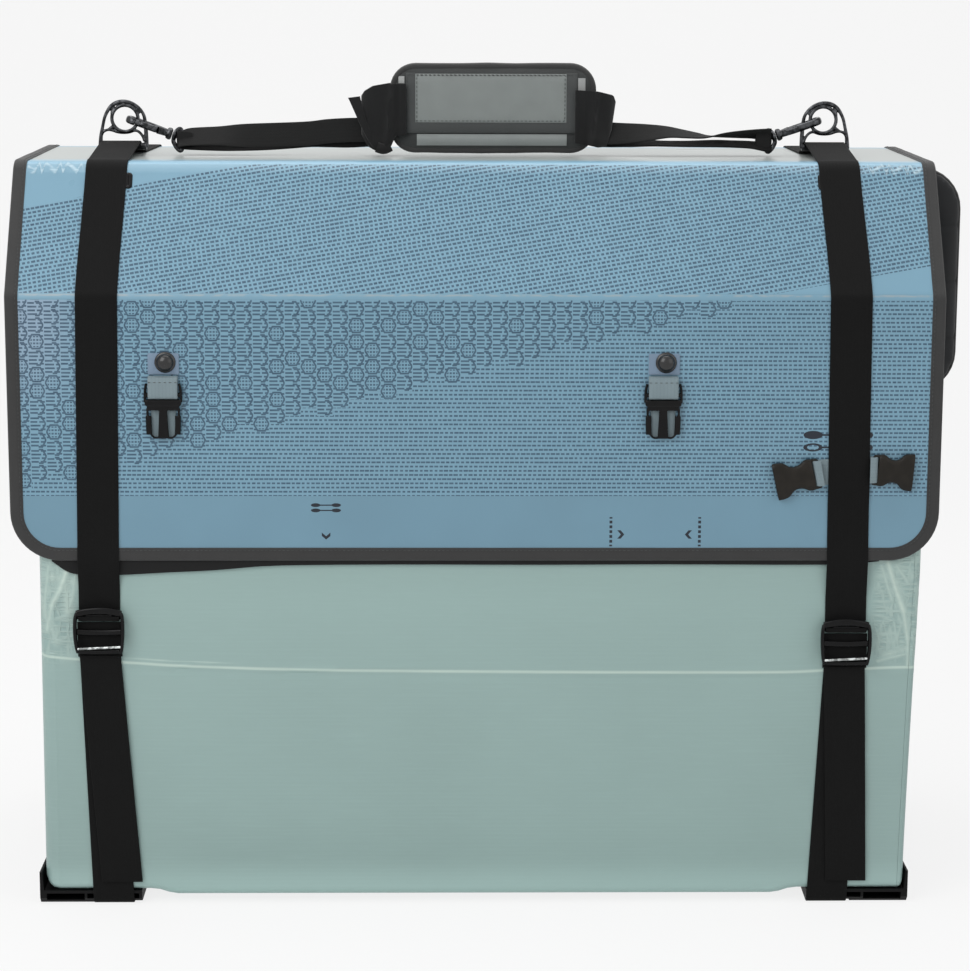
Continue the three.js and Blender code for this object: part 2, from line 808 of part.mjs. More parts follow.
const lockHalf = strapWidth / 2 + lockSideClearance;
const plyBack = -hullFace - lockY - seat - webbing / 2;
const lockLoopRadius = lockBarThick / 2 + seat + webbing / 2;
const lockMiddleY = plyBack - lockLoopRadius;
const tailCentre = -plyFace - webbing / 2 - lockY;
const lowerBarBack = tailCentre - webbing / 2 - seat;
const lockBarTop = -lockBarDrop + lockBarHeight / 2;
const lowerBarTop = lockLowerBar - lockDrop;

function ladderLock() {
  const back = lockBarRadius + seat / 2;
  const cheek = [
    [-lockFront, lockLipRise],
    [-lockBarRadius / 2 - seat, lockLipRise],
    [back, lockBarRadius / 2],
    [back, lowerBarTop],
    [lowerBarBack, -lockDrop],
    [-lockFront, -lockDrop],
    [-lockFront - lockBulge, -lockBarDrop - lockWall],
    [-lockFront - lockBulge, -lockBarDrop + lockWall],
  ];
  const cheeks = [-1, 1].map((side) => {
    const [a, b] = [side * lockHalf, side * (lockHalf + lockWall)];
    return prismX(cheek, Math.min(a, b), Math.max(a, b));
  });
  const lip = [
    [-lockFront, lockLipRise - lockLip],
    [-lockFront, lockLipRise],
    [-lockBarRadius / 2 - seat, lockLipRise],
    [-lockBarRadius / 2 - seat, lockLipRise - lockLip],
  ];
  const crown = lockBarThick / 2;
  const middle = [
    ...arc(lockMiddleY, lockBarTop - crown, crown, 0, Math.PI, cornerFacets),
    [lockMiddleY - crown, lockBarTop - lockBarHeight],
    [lockMiddleY + crown, lockBarTop - lockBarHeight],
  ];
  const lower = [
    [-lockFront, lowerBarTop],
    [-lockFront, -lockDrop],
    [lowerBarBack, -lockDrop],
    [lowerBarBack, lowerBarTop],
  ];
  const bars = [lip, middle, lower].map((section) => prismX(section, -lockHalf - overrun, lockHalf + overrun));
  return join(cheeks[0], cheeks[1], barX(lockBarRadius, -lockHalf - overrun, lockHalf + overrun), ...bars);
}

// The webbing threaded through a lock: up behind it, over the middle bar and down behind
// the lower bar
function lockLoop() {
  const crown = lockBarTop - lockBarThick / 2;
  const over = arc(lockMiddleY, crown, lockLoopRadius, 0, Math.PI, foldFacets);
  const line = [
    [plyBack, -loopTailDrop],
    ...over,
    [lockMiddleY - lockLoopRadius, lockBarTop - lockBarHeight],
    [tailCentre, lowerBarTop + overrun],
    [tailCentre, -loopTailDrop],
  ];
  return prismX(stripOutline(line, webbing), -strapWidth / 2, strapWidth / 2);
}

for (const [name, side] of strapSides) {
  const at = groupAt(side * strapAtLock, lockY, lockHeightOf(side));
  place(`ladder_lock_${name}`, ladderLock(), plasticBlack, at);
  place(`lock_webbing_${name}`, lockLoop(), webbingBlack, at);
}

// The carrying rings and snap hooks, about the middle of each ring's bar, with X towards
// the middle of the lid

const ringLeg = (z) => ringHalfFoot - ((ringHalfFoot - ringArch) * z) / ringArchRise;

function carryRing() {
  const foot = -ringBarRadius + ringBevel;
  const outline = [
    [-ringHalfFoot, foot],
    [ringHalfFoot, foot],
    ...arc(0, ringArchRise, ringArch, 0, Math.PI, roundFacets),
  ];
  const hole = arc(0, ringHoleRise, ringHole, 0, Math.PI * 2, roundFacets).slice(1);
  const innerLow = ringHoleRise - ringHole - ringWall;
  const archTop = ringWebRise;
  const arch = [
    [ringLeg(0) - ringWall - seat, 0],
    [ringLeg(innerLow) - ringWall, innerLow / 2],
    [ringHole + ringWall, archTop - ringWall / 2],
    [ringHole - ringWall, archTop],
    [0, innerLow],
    [ringWall - ringHole, archTop],
    [-ringHole - ringWall, archTop - ringWall / 2],
    [ringWall - ringLeg(innerLow), innerLow / 2],
    [ringWall + seat - ringLeg(0), 0],
  ];
  const low = ringWebRise + ringWall + seat;
  const sideWindow = (side) => [
    [side * (ringLeg(low) - ringWall), low],
    ...arc(0, ringArchRise, ringArch - ringWall, 0, halfPi * 0.3, 2).map(([x, z]) => [side * x, z]),
    ...arc(0, ringHoleRise, ringHole + ringWall, halfPi * 0.2, -halfPi * 0.4, 3).map(([x, z]) => [side * x, z]),
  ];
  const holes = [hole, arch, sideWindow(1), sideWindow(-1)];
  const plate = prismY(outline, -ringThick / 2, ringThick / 2, holes, ringBevel);
  return join(plate, barX(ringBarRadius, ringWall / 2 - ringHalfFoot, ringHalfFoot - ringWall / 2));
}

const hookBack = hookWindowBackSide + hookSideWall;
const hookGateSide = -hookWindowGateSide - hookSideWall;
const gateFrom = hookBow + gateStart;
const gateTo = hookBow + hookWindow;

function snapHook() {
  const outline = roundedRect(0, hookLength, hookGateSide, hookBack, hookWindowGateSide);
  const window = roundedRect(hookBow, gateTo, -hookWindowGateSide, hookWindowBackSide, hookSideWall);
  const body = prismZ(outline, -hookThick / 2, hookThick / 2, [window], ringBevel);
  const reach = hookThick;
  const mouth = block([gateFrom, gateTo], [hookGateSide - overrun, -hookWindowGateSide + overrun], [-reach, reach]);
  const socket = hookLength - swivelPinDepth - swivelGap;
  const pinHole = barX(swivelPin + swivelPinClearance, socket, hookLength + overrun);
  return carve(body, mouth, pinHole);
}

function hookGate() {
  const outline = roundedRect(gateFrom + gateGap, gateTo - gateGap, hookGateSide, -hookWindowGateSide, hookSideWall / 2);
  return prismZ(outline, -gateThick / 2, gateThick / 2);
}

const collarStart = hookLength + swivelGap;
const eyeStart = collarStart + swivelCollarLength;
const eyeBarAt = eyeStart + eyeWire + eyeReach;
const eyeHalf = carryWidth / 2 + swivelGap;

// The hooks slope down until their eyes come close to the lid
const eyeDrop = ringBarRise + ringHoleRise - eyeAboveLid - eyeHalf - eyeWire * 2;
const hookPitch = Math.asin(eyeDrop / eyeBarAt);
const hookFrame = new THREE.Matrix4().makeRotationY(hookPitch).setPosition(hookNoseX, 0, ringHoleRise);

function swivelEye() {
  const wire = eyeWire * 2;
  const arms = [
    [eyeStart - swivelGap, -eyeHalf - wire],
    [eyeBarAt + eyeWire, -eyeHalf - wire],
    [eyeBarAt + eyeWire, -eyeHalf],
    [eyeStart + wire, -eyeHalf],
    [eyeStart + wire, eyeHalf],
    [eyeBarAt + eyeWire, eyeHalf],
    [eyeBarAt + eyeWire, eyeHalf + wire],
    [eyeStart - swivelGap, eyeHalf + wire],
  ];
  const bar = new THREE.CylinderGeometry(eyeWire, eyeWire, eyeHalf * 2 + wire, smallFacets);
  return join(
    prismY(arms, -eyeWire, eyeWire),
    barX(swivelCollar, collarStart, eyeStart),
    barX(swivelPin, collarStart - swivelPinDepth, eyeStart),
    bar.rotateX(halfPi).translate(eyeBarAt, 0, 0),
  );
}

// Half the thickness of a stuffed panel at a distance in from its edge
function swell(inset, edge, crown, rise) {
  return edge + (crown - edge) * Math.sin((halfPi * Math.min(inset, rise)) / rise);
}

const padRise = padCorner + padCorner / 4;

// The shoulder strap from the eye of its hook to the band that grips the pad's end. It
// stands on edge, and the right one turns over once on its way.
function shoulderStrap(padEnd, beyond, bandHeight, twist) {
  const sleeve = eyeWire + seat;
  const round = (radius) => arc(eyeBarAt, 0, radius, 0, Math.PI * 2, smallFacets).slice(1);
  const loop = prismZ(round(sleeve + webbing), -carryWidth / 2, carryWidth / 2, [round(sleeve)]);
  loop.applyMatrix4(hookFrame);

  const start = new THREE.Vector3(eyeBarAt + sleeve + webbing / 2, 0, 0).applyMatrix4(hookFrame);
  const bandApex = padEnd - beyond;
  const grip = swell(bandOverPad, padEdge, padCrown, padRise) + bandClearance + webbing;
  const steps = roundFacets;
  const rings = [];
  for (let i = 0; i <= steps; i += 1) {
    const share = i / steps;
    const lean = hookPitch * Math.max(0, 1 - share * 3);
    const turn = twist * THREE.MathUtils.smoothstep(share, 0.15, 0.85);
    const half = (carryWidth / 2) * (twist > 0 ? 1 : 1 + share * 0.24);
    const middle = new THREE.Vector3(
      THREE.MathUtils.lerp(start.x, bandApex + webbing / 2, share),
      0,
      THREE.MathUtils.lerp(start.z, bandBase + half, share ** 2),
    );
    const up = new THREE.Vector3(Math.sin(lean), Math.cos(lean) * Math.sin(turn), Math.cos(lean) * Math.cos(turn));
    const face = new THREE.Vector3(0, Math.cos(turn), -Math.sin(turn)).multiplyScalar(webbing / 2);
    up.multiplyScalar(half);
    rings.push([
      middle.clone().sub(up).sub(face),
      middle.clone().sub(up).add(face),
      middle.clone().add(up).add(face),
      middle.clone().add(up).sub(face),
    ]);
  }
  const run = loft(rings, [[0, 0], [webbing, 0], [webbing, carryWidth], [0, carryWidth]]);

  const bend = arc(bandApex + grip, 0, grip - webbing / 2, halfPi, halfPi + Math.PI, foldFacets * 2);
  const hairpin = [
    [padEnd + bandOverPad, grip - webbing / 2],
    ...bend,
    [padEnd + bandOverPad, webbing / 2 - grip],
  ];
  const band = prismZ(stripOutline(hairpin, webbing), bandBase, bandBase + bandHeight);
  return join(run, loop, band);
}

const padEnds = {
  left: [ringX + padX - padWidth / 2, bandBeyondLeft, bandLeftHeight, 0],
  right: [ringX - padX - padWidth / 2, bandBeyondRight, bandRightHeight, Math.PI],
};
for (const [name, side] of strapSides) {
  const at = groupAt(side * ringX, ringY, barHeight);
  at.rotation.z = side > 0 ? Math.PI : 0;
  place(`carry_ring_${name}`, carryRing(), gunmetal, at);
  place(`shoulder_strap_${name}`, shoulderStrap(...padEnds[name]), webbingBlack, at);
  const hook = groupAt(hookNoseX, 0, ringHoleRise, at);
  hook.rotation.y = hookPitch;
  place(`snap_hook_${name}`, snapHook(), gunmetal, hook);
  place(`hook_gate_${name}`, hookGate(), gunmetal, hook);
  place(`swivel_eye_${name}`, swivelEye(), gunmetal, hook);
}

// A stuffed panel standing in X and Z: crowned faces, a square edge and drawn-in sides
function cushion(left, right, base, top, corner, edge, crown, drawIn, rise) {
  const insets = [rise, rise * 0.62, rise * 0.3, rise * 0.1, 0];
  const outlineAt = (inset) => {
    const radius = corner - inset * Math.min(1, (corner * 0.8) / rise);
    const line = roundedRect(left + inset, right - inset, base + inset, top - inset, radius);
    const steps = cornerFacets + 1;
    const middle = (from, to, pull) => [(from[0] + to[0]) / 2 + pull[0], (from[1] + to[1]) / 2 + pull[1]];
    const pulls = [[-drawIn, 0], [0, -drawIn], [drawIn, 0], [0, drawIn]];
    return pulls.flatMap((pull, side) => {
      const run = line.slice(side * steps, (side + 1) * steps);
      const next = line[((side + 1) * steps) % line.length];
      return [...run, middle(run[run.length - 1], next, pull)];
    });
  };
  const face = (inset, side) => {
    const half = side * swell(inset, edge, crown, rise);
    return outlineAt(inset).map(([x, z]) => new THREE.Vector3(x, half, z));
  };
  const rings = [
    ...insets.map((inset) => face(inset, -1)),
    ...[...insets].reverse().map((inset) => face(inset, 1)),
  ];
  return loft(rings, outlineAt(rise));
}

// The pad, with the sewn line across its lower part
const padGroup = groupAt(padX, ringY, barHeight);
const padBase = -padBelowAxis;
const padBody = cushion(
  -padWidth / 2, padWidth / 2, padBase, padBase + padHeight, padCorner, padEdge, padCrown, padDrawIn, padRise,
);
const padChannel = [
  [-padCrown - overrun, padBase + padChannelRise - padChannelDepth * 2],
  [-padCrown - overrun, padBase + padChannelRise + padChannelDepth * 2],
  [padChannelDepth - padCrown * 0.72, padBase + padChannelRise],
];
place('shoulder_pad', carve(padBody, prismX(padChannel, -padWidth, padWidth)), padGrey, padGroup);

// The plug halves of the side-release buckles, each on a webbing tab riveted to the lid

const tabRadius = maleBar + seat + webbing / 2;
const tabBack = -seat - webbing / 2;
const tabFront = tabBack - webbing - seat;
const maleY = tabBack - tabRadius;

function buckleTab() {
  const line = [
    [tabBack, tabTop],
    [tabBack, -tabDrop],
    ...arc(maleY, -tabDrop, tabRadius, 0, -Math.PI, foldFacets * 2).slice(1),
    [maleY - tabRadius, -tabDrop + tabRadius / 2],
    [tabFront, -Math.hypot(washerWidth, washerHeight) / 2 - tabRadius / 2],
    [tabFront, tabTop],
  ];
  const sheetOfWebbing = prismX(stripOutline(line, webbing), -tabWidth / 2, tabWidth / 2);
  return carve(sheetOfWebbing, barY(rivetShank + rivetClearance, -tabDrop, tabDrop));
}

function lidRivet() {
  const washerBack = tabFront - webbing / 2 - seat;
  const washerFront = washerBack - washerThick;
  const head = (rivetDome ** 2 + rivetRise ** 2) / (2 * rivetRise);
  const rim = Math.asin(rivetDome / head);
  const dome = arc(0, rivetRise - head, head, halfPi - rim, halfPi, foldFacets).map(([a, b]) => new THREE.Vector2(a, b));
  const profile = [new THREE.Vector2(0, -seat), new THREE.Vector2(rivetDome, -seat), ...dome];
  profile[profile.length - 1].x = 0;
  const cap = new THREE.LatheGeometry(profile, roundFacets).rotateX(Math.PI).translate(0, washerFront, 0);
  const plate = roundedRect(-washerWidth / 2, washerWidth / 2, -washerHeight / 2, washerHeight / 2, overrun);
  const shank = barY(rivetShank, washerFront, lidSheet - seat);
  return join(prismY(plate, washerFront, washerBack), outward(geometryOf(solidOf(cap))), shank);
}

// Half outlines of a barbed prong, as shares of the buckle's half width and prong length
const prongShares = [
  [0.5, 0], [0.78, 0], [0.82, 0.36], [1, 0.42], [1, 0.86], [0.78, 1], [0.62, 0.88], [0.64, 0.3],
];

function maleBuckle() {
  const half = tabWidth / 2 + seat + maleBar;
  const baseTop = -tabDrop - maleBar - seat - webbing - seat;
  const baseLow = baseTop - maleBase;
  const cheek = (side) => {
    const [a, b] = [side * (half - maleBar), side * half];
    return block([Math.min(a, b), Math.max(a, b)], [maleY - maleBar, maleY + maleBar], [baseLow, maleBar - tabDrop]);
  };
  const thick = [maleY - maleThick / 2, maleY + maleThick / 2];
  const prongThick = [maleY - femaleBore / 2 + seat * 2, maleY + femaleBore / 2 - seat * 2];
  const base = prismY(roundedRect(-half, half, baseLow, baseTop, maleBar), ...thick, [], seat);
  const prong = (side) => prongShares.map(([x, z]) => [side * x * (maleWidth / 2), baseLow + overrun - z * maleProng]);
  const guide = roundedRect(-maleGuide / 2, maleGuide / 2, baseLow - maleProng + maleWaist, baseLow + overrun, maleWaist / 2);
  return join(
    base,
    cheek(-1),
    cheek(1),
    barX(maleBar, -half + seat, half - seat, maleY, -tabDrop),
    prismY(prong(-1), ...prongThick),
    prismY(prong(1), ...prongThick),
    prismY(guide, ...prongThick),
  );
}

for (const [name, x] of [['left', plugLeftInset - hullHalf], ['right', hullHalf - plugRightInset]]) {
  const at = groupAt(x, -lidDepth / 2, rivetHeight);
  place(`buckle_tab_${name}`, buckleTab(), tabGrey, at);
  place(`plug_buckle_${name}`, maleBuckle(), plasticBlack, at);
  place(`lid_rivet_${name}`, lidRivet(), plasticBlack, at);
}

// The socket halves, on a webbing strip that passes under the right front strap

const stripX = frontStrapX(femaleHeight, 1) - femaleStripShift;
const stripHalf = strapWidth / 2 + femaleBarOut;
const socketY = tabBack - tabRadius;

function socketStrip() {
  const end = (side) => arc(side * stripHalf, socketY, tabRadius, halfPi, halfPi - side * Math.PI, foldFacets * 2);
  const line = [
    [overrun * 2 - stripHalf, socketY - tabRadius],
    ...end(-1).reverse(),
    ...end(1),
    [stripHalf - overrun * 2, socketY - tabRadius],
  ];
  return prismZ(stripOutline(line, webbing), -femaleStripWidth / 2, femaleStripWidth / 2);
}

// Half outline of the socket, as shares of its length and of half its mouth
const socketShares = [
  [0.16, 0.62], [0.3, 0.64], [0.44, 0.5], [0.6, 0.46], [0.74, 0.56], [0.82, 0.94], [0.9, 1], [1, 1],
];
const boreShares = [[0.4, 0.3], [0.68, 0.32], [0.82, 0.7], [1.05, 0.8]];

function mirrored(shares, length, half) {
  const upper = shares.map(([x, z]) => [x * length, z * half]);
  const lower = shares.map(([x, z]) => [x * length, -z * half]).reverse();
  return [...upper, ...lower];
}

function socketBuckle() {
  const half = femaleMouth / 2;
  const inner = femaleStripWidth / 2 + seat;
  const body = prismY(mirrored(socketShares, femaleLength, half), -femaleThick / 2, femaleThick / 2, [], seat);
  const cheeks = [-1, 1].map((side) => {
    const [a, b] = [side * inner, side * (inner + maleBar)];
    const along = [-maleBar, socketShares[1][0] * femaleLength];
    return block(along, [-maleBar, maleBar], [Math.min(a, b), Math.max(a, b)]);
  });
  const bar = new THREE.CylinderGeometry(maleBar, maleBar, (inner + seat) * 2, smallFacets).rotateX(halfPi);
  const bore = prismY(mirrored(boreShares, femaleLength, half), -femaleBore / 2, femaleBore / 2);
  return carve(join(body, ...cheeks, bar), bore);
}

const stripGroup = groupAt(stripX, -lidDepth / 2, femaleHeight);
place('socket_strip', socketStrip(), tabGrey, stripGroup);
for (const [name, side] of [['inner', -1], ['outer', 1]]) {
  const at = groupAt(side * stripHalf, socketY, 0, stripGroup);
  at.rotation.z = side < 0 ? Math.PI : 0;
  place(`socket_buckle_${name}`, socketBuckle(), plasticBlack, at);
}

// The gear packed inside: two backrests, two seat pans and two crossbars. The rear seat
// lies behind the front one.

const gear = groupAt(0, gearY, 0);
function stowedCushion(name, x, width, base, top, corner, thick) {
  const rise = corner * 1.4;
  const [left, right] = [x - width / 2, x + width / 2];
  const edge = thick * cushionEdgeShare;
  const body = cushion(left, right, base, top, corner, edge, thick / 2, cushionDrawIn, rise);
  const at = groupAt(0, x > 0 ? gearSpacing : 0, 0, gear);
  place(name, body, seatBlack, at);
}
const backrestTop = lidTopHeight - backrestBelowTop;
const backrestBase = backrestTop - backrestHeight;
const panTop = backrestBase - seat;
const seats = [
  ['rear', hullHalf - rearBackrestInset, hullHalf - rearPanInset, floorUnderRear],
  ['front', frontBackrestInset - hullHalf, frontPanInset - hullHalf, floorUnderFront],
];
for (const [name, backrestX, panX, floor] of seats) {
  stowedCushion(`backrest_${name}`, backrestX, backrestWidth, backrestBase, backrestTop, backrestCorner, backrestThick);
  stowedCushion(`seat_pan_${name}`, panX, panWidth, floor + seat, panTop, panCorner, panThick);
}

const innerWallFace = hullDepth / 2 - (sternWrap + 2) * layerPitch - sheet;
for (const [i, name] of ['crossbar_long', 'crossbar_short'].entries()) {
  const half = hullHalf - crossbarEndGap - i * crossbarClipWidth;
  const rise = crossbarClipHeight / 2;
  const clip = roundedRect(-crossbarClipWidth / 2, crossbarClipWidth / 2, -rise, rise, crossbarClipThick);
  const tube = join(
    barX(crossbarRadius, -half, half, 0, 0, roundFacets),
    prismX(clip, -half, crossbarClipThick - half),
    prismX(clip, half - crossbarClipThick, half),
  );
  const bore = barX(crossbarRadius - crossbarWall, -half - overrun, half + overrun, 0, 0, roundFacets);
  const y = innerWallFace - crossbarFromWall - i * crossbarSpacing;
  place(name, carve(tube, bore), tubeSilver, groupAt(0, y, floorUnderFront + seat + rise));
}

// The origin lies under the middle of the whole, so everything moves over by half of what
// the rear backrest sticks out past the lid
const gearReach = hullHalf - rearBackrestInset + backrestWidth / 2;
kayak.position.x = (lidHalf - gearReach) / 2;

export default kayak;
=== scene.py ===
"""A tandem folding kayak, folded up as its own carrying box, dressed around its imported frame."""
import math

import bmesh
import bpy
from bpy.props import FloatProperty, FloatVectorProperty, PointerProperty
from mathutils import Matrix, Vector, noise
from mathutils.bvhtree import BVHTree


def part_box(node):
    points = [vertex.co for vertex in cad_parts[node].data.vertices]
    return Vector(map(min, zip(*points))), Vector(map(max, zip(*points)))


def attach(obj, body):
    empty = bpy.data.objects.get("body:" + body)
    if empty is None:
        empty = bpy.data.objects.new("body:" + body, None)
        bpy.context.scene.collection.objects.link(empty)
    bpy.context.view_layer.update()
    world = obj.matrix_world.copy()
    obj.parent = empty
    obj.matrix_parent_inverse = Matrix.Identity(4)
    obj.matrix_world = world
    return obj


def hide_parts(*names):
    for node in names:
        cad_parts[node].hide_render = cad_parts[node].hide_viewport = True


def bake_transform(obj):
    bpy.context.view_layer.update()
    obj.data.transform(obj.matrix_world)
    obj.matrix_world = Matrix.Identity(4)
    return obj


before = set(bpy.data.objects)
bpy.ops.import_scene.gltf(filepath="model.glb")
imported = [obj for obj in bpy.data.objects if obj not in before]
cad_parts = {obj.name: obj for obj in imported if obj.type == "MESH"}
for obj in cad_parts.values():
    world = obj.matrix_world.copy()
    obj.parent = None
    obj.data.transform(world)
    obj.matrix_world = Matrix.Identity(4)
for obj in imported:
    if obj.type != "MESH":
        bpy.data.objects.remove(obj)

bl_info = {
    "name": "Folded kayak box",
    "version": (1, 0, 0),
    "blender": (4, 5, 0),
    "location": "View3D > Sidebar > Kayak box",
    "description": "Builds a folding kayak in its carrying state around the packed frame",
    "category": "Object",
}

MM = 0.001
QUARTER = math.pi / 2
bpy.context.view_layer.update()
LID_LOW, LID_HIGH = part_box("lid_top_panel")
SHIFT = (LID_LOW.x + LID_HIGH.x) / 2


def at(x, y, z):
    """A point in millimetres from the middle of the hull, in the frame's metres."""
    return Vector((x * MM + SHIFT, y * MM, z * MM))


def paint(code):
    """A colour written as on screen, as the linear numbers that a shader takes."""
    parts = [int(code[i:i + 2], 16) / 255 for i in (0, 2, 4)]
    return tuple(c / 12.92 if c <= 0.04045 else ((c + 0.055) / 1.055) ** 2.4 for c in parts)


def length_setting(label, meaning, size, least=0.0):
    return FloatProperty(name=label, description=meaning, default=size * MM, min=least,
                         subtype="DISTANCE", unit="LENGTH", precision=4)


def colour_setting(label, meaning, code):
    return FloatVectorProperty(name=label, description=meaning, default=paint(code), size=3,
                               min=0.0, max=1.0, subtype="COLOR")


class KayakSizes(bpy.types.PropertyGroup):
    """Sizes of the pieces that are dressed over the frame."""
    crease_radius: length_setting("Crease radius", "Outer radius of the lid's lower creases", 8.5)
    top_radius: length_setting("Top radius", "Outer radius of the creases beside the lid's top", 20)
    binding_width: length_setting("Binding width", "Width of the tape sewn round the lid", 13)
    binding_proud: length_setting("Binding height", "How far the tape stands off the board", 1.2)
    strap_width: length_setting("Strap width", "Width of the two body straps", 40.5)
    webbing: length_setting("Webbing thickness", "Thickness of every strap", 1.6)
    stitch_pitch: length_setting("Stitch pitch", "Distance from one stitch to the next", 4.2, 0.001)
    stitch_length: length_setting("Stitch length", "Length of one stitch", 3.0)
    thread: length_setting("Thread", "Thickness of the sewing thread", 0.7)
    board_waves: length_setting("Board waviness", "Height of the ripples in the lid's board", 0.35)
    hull_lean: length_setting("Hull lean", "How far the hull's open end leans to the right", 8)


class KayakColours(bpy.types.PropertyGroup):
    """Base colours of the finishes."""
    hull: colour_setting("Hull sheet", "Colour of the folded hull", "9bb5b1")
    board: colour_setting("Floorboard", "Ground colour of the lid's board", "749aae")
    print_dark: colour_setting("Print", "Colour of the pattern on the board", "24425a")
    top: colour_setting("Board top", "Colour of the plain top of the lid", "abb1af")
    binding: colour_setting("Binding", "Colour of the tape round the lid", "3b3b3b")
    webbing: colour_setting("Webbing", "Colour of the straps", "141414")
    plastic: colour_setting("Buckles", "Colour of locks, buckles and rivets", "121213")
    tab: colour_setting("Tabs", "Colour of the grey webbing tabs", "85959b")
    pad: colour_setting("Pad", "Colour of the shoulder pad's panel", "8a8f8d")
    seat: colour_setting("Seats", "Colour of the packed seats", "232426")


def sizes():
    return bpy.context.scene.kayak_sizes


def colours():
    return bpy.context.scene.kayak_colours


# Finishes: small wires that read as sums, and one function for each finish

UNBENT = "unbent_place"


class Wire:
    """A socket of a node tree that can be added, multiplied and compared."""

    def __init__(self, finish, socket):
        self.finish = finish
        self.socket = socket

    def pick(self, low, high):
        """Low where this is 0 and high where it is 1."""
        return low + self * (high - low)

    def flip(self):
        return self * -1.0 + 1.0

    def ease(self, start, end):
        """0 below start, 1 above end, smooth between."""
        node = self.finish.node("ShaderNodeMapRange", interpolation_type="SMOOTHSTEP")
        self.finish.feed(node.inputs["Value"], self)
        node.inputs["From Min"].default_value = start
        node.inputs["From Max"].default_value = end
        return Wire(self.finish, node.outputs["Result"])


WIRE_SUMS = {"__add__": "ADD", "__sub__": "SUBTRACT", "__mul__": "MULTIPLY", "__truediv__": "DIVIDE",
             "__lt__": "LESS_THAN", "__gt__": "GREATER_THAN", "floor": "FLOOR", "fract": "FRACT",
             "size": "ABSOLUTE", "sine": "SINE", "least": "MINIMUM", "most": "MAXIMUM"}
for method, operation in WIRE_SUMS.items():
    setattr(Wire, method, lambda self, *others, operation=operation: self.finish.math(operation, self, *others))


class Finish:
    """One material and the nodes in it."""

    def __init__(self, name, rough=0.5, metal=0.0):
        self.material = bpy.data.materials.new(name)
        self.material.use_nodes = True
        self.tree = self.material.node_tree
        self.shader = self.tree.nodes["Principled BSDF"]
        self.set({"Roughness": rough, "Metallic": metal})
        self.height = None

    def set(self, values):
        for label, value in values.items():
            self.shader.inputs[label].default_value = value

    def node(self, kind, **settings):
        made = self.tree.nodes.new(kind)
        for key, value in settings.items():
            setattr(made, key, value)
        return made

    def feed(self, target, source):
        if isinstance(source, Wire):
            self.tree.links.new(source.socket, target)
        else:
            target.default_value = source

    def math(self, operation, *terms):
        made = self.node("ShaderNodeMath", operation=operation)
        for target, term in zip(made.inputs, terms):
            self.feed(target, term)
        return Wire(self, made.outputs[0])

    def place(self, uv=False, unbent=False):
        """The three coordinates of a point in millimetres, from the middle of the hull."""
        made = self.node("ShaderNodeAttribute" if unbent else "ShaderNodeTexCoord")
        if unbent:
            made.attribute_name = UNBENT
        split = self.node("ShaderNodeSeparateXYZ")
        source = "Vector" if unbent else "UV" if uv else "Object"
        self.tree.links.new(made.outputs[source], split.inputs[0])
        x, y, z = (Wire(self, out) * (1 / MM) for out in split.outputs)
        return (x, y, z) if uv else (x - SHIFT / MM, y, z)

    def vector(self, x, y, z=0.0):
        made = self.node("ShaderNodeCombineXYZ")
        for target, term in zip(made.inputs, (x, y, z)):
            self.feed(target, term)
        return Wire(self, made.outputs[0])

    def cloud(self, where, scale=1.0, detail=2.0, rough=0.5):
        made = self.node("ShaderNodeTexNoise")
        self.feed(made.inputs["Vector"], where)
        made.inputs["Scale"].default_value = scale
        made.inputs["Detail"].default_value = detail
        made.inputs["Roughness"].default_value = rough
        return Wire(self, made.outputs["Fac"])

    def streak(self, x, z, start, end, wide):
        """1 on a line between two points of (x, z), falling to 0 beside it."""
        (x0, z0), (x1, z1) = start, end
        dx, dz = x1 - x0, z1 - z0
        length = dx * dx + dz * dz
        share = (((x - x0) * dx + (z - z0) * dz) / length).most(0.0).least(1.0)
        gap_x, gap_z = x - x0 - share * dx, z - z0 - share * dz
        return (self.math("SQRT", gap_x * gap_x + gap_z * gap_z) / -wide + 1.0).most(0.0)

    def chance(self, where):
        made = self.node("ShaderNodeTexWhiteNoise", noise_dimensions="3D")
        self.feed(made.inputs["Vector"], where)
        return Wire(self, made.outputs["Value"])

    def mix(self, share, first, second):
        made = self.node("ShaderNodeMix", data_type="RGBA")
        self.feed(made.inputs[0], share)
        for target, term in ((made.inputs[6], first), (made.inputs[7], second)):
            self.feed(target, term if isinstance(term, Wire) else (*term, 1.0))
        return Wire(self, made.outputs[2])

    def colour(self, source):
        self.feed(self.shader.inputs["Base Color"], source)

    def rough(self, source):
        self.feed(self.shader.inputs["Roughness"], source)

    def bump(self, height, distance, strength=1.0):
        """Adds a relief whose height runs from 0 to 1 over a distance in millimetres."""
        made = self.node("ShaderNodeBump")
        made.inputs["Strength"].default_value = strength
        made.inputs["Distance"].default_value = distance * MM
        self.feed(made.inputs["Height"], height)
        if self.height is not None:
            self.tree.links.new(self.height, made.inputs["Normal"])
        self.height = made.outputs["Normal"]
        self.tree.links.new(self.height, self.shader.inputs["Normal"])


def tint(colour, share):
    """A colour made darker, or lighter where the share is over one."""
    return tuple(min(1.0, c * share) for c in colour)


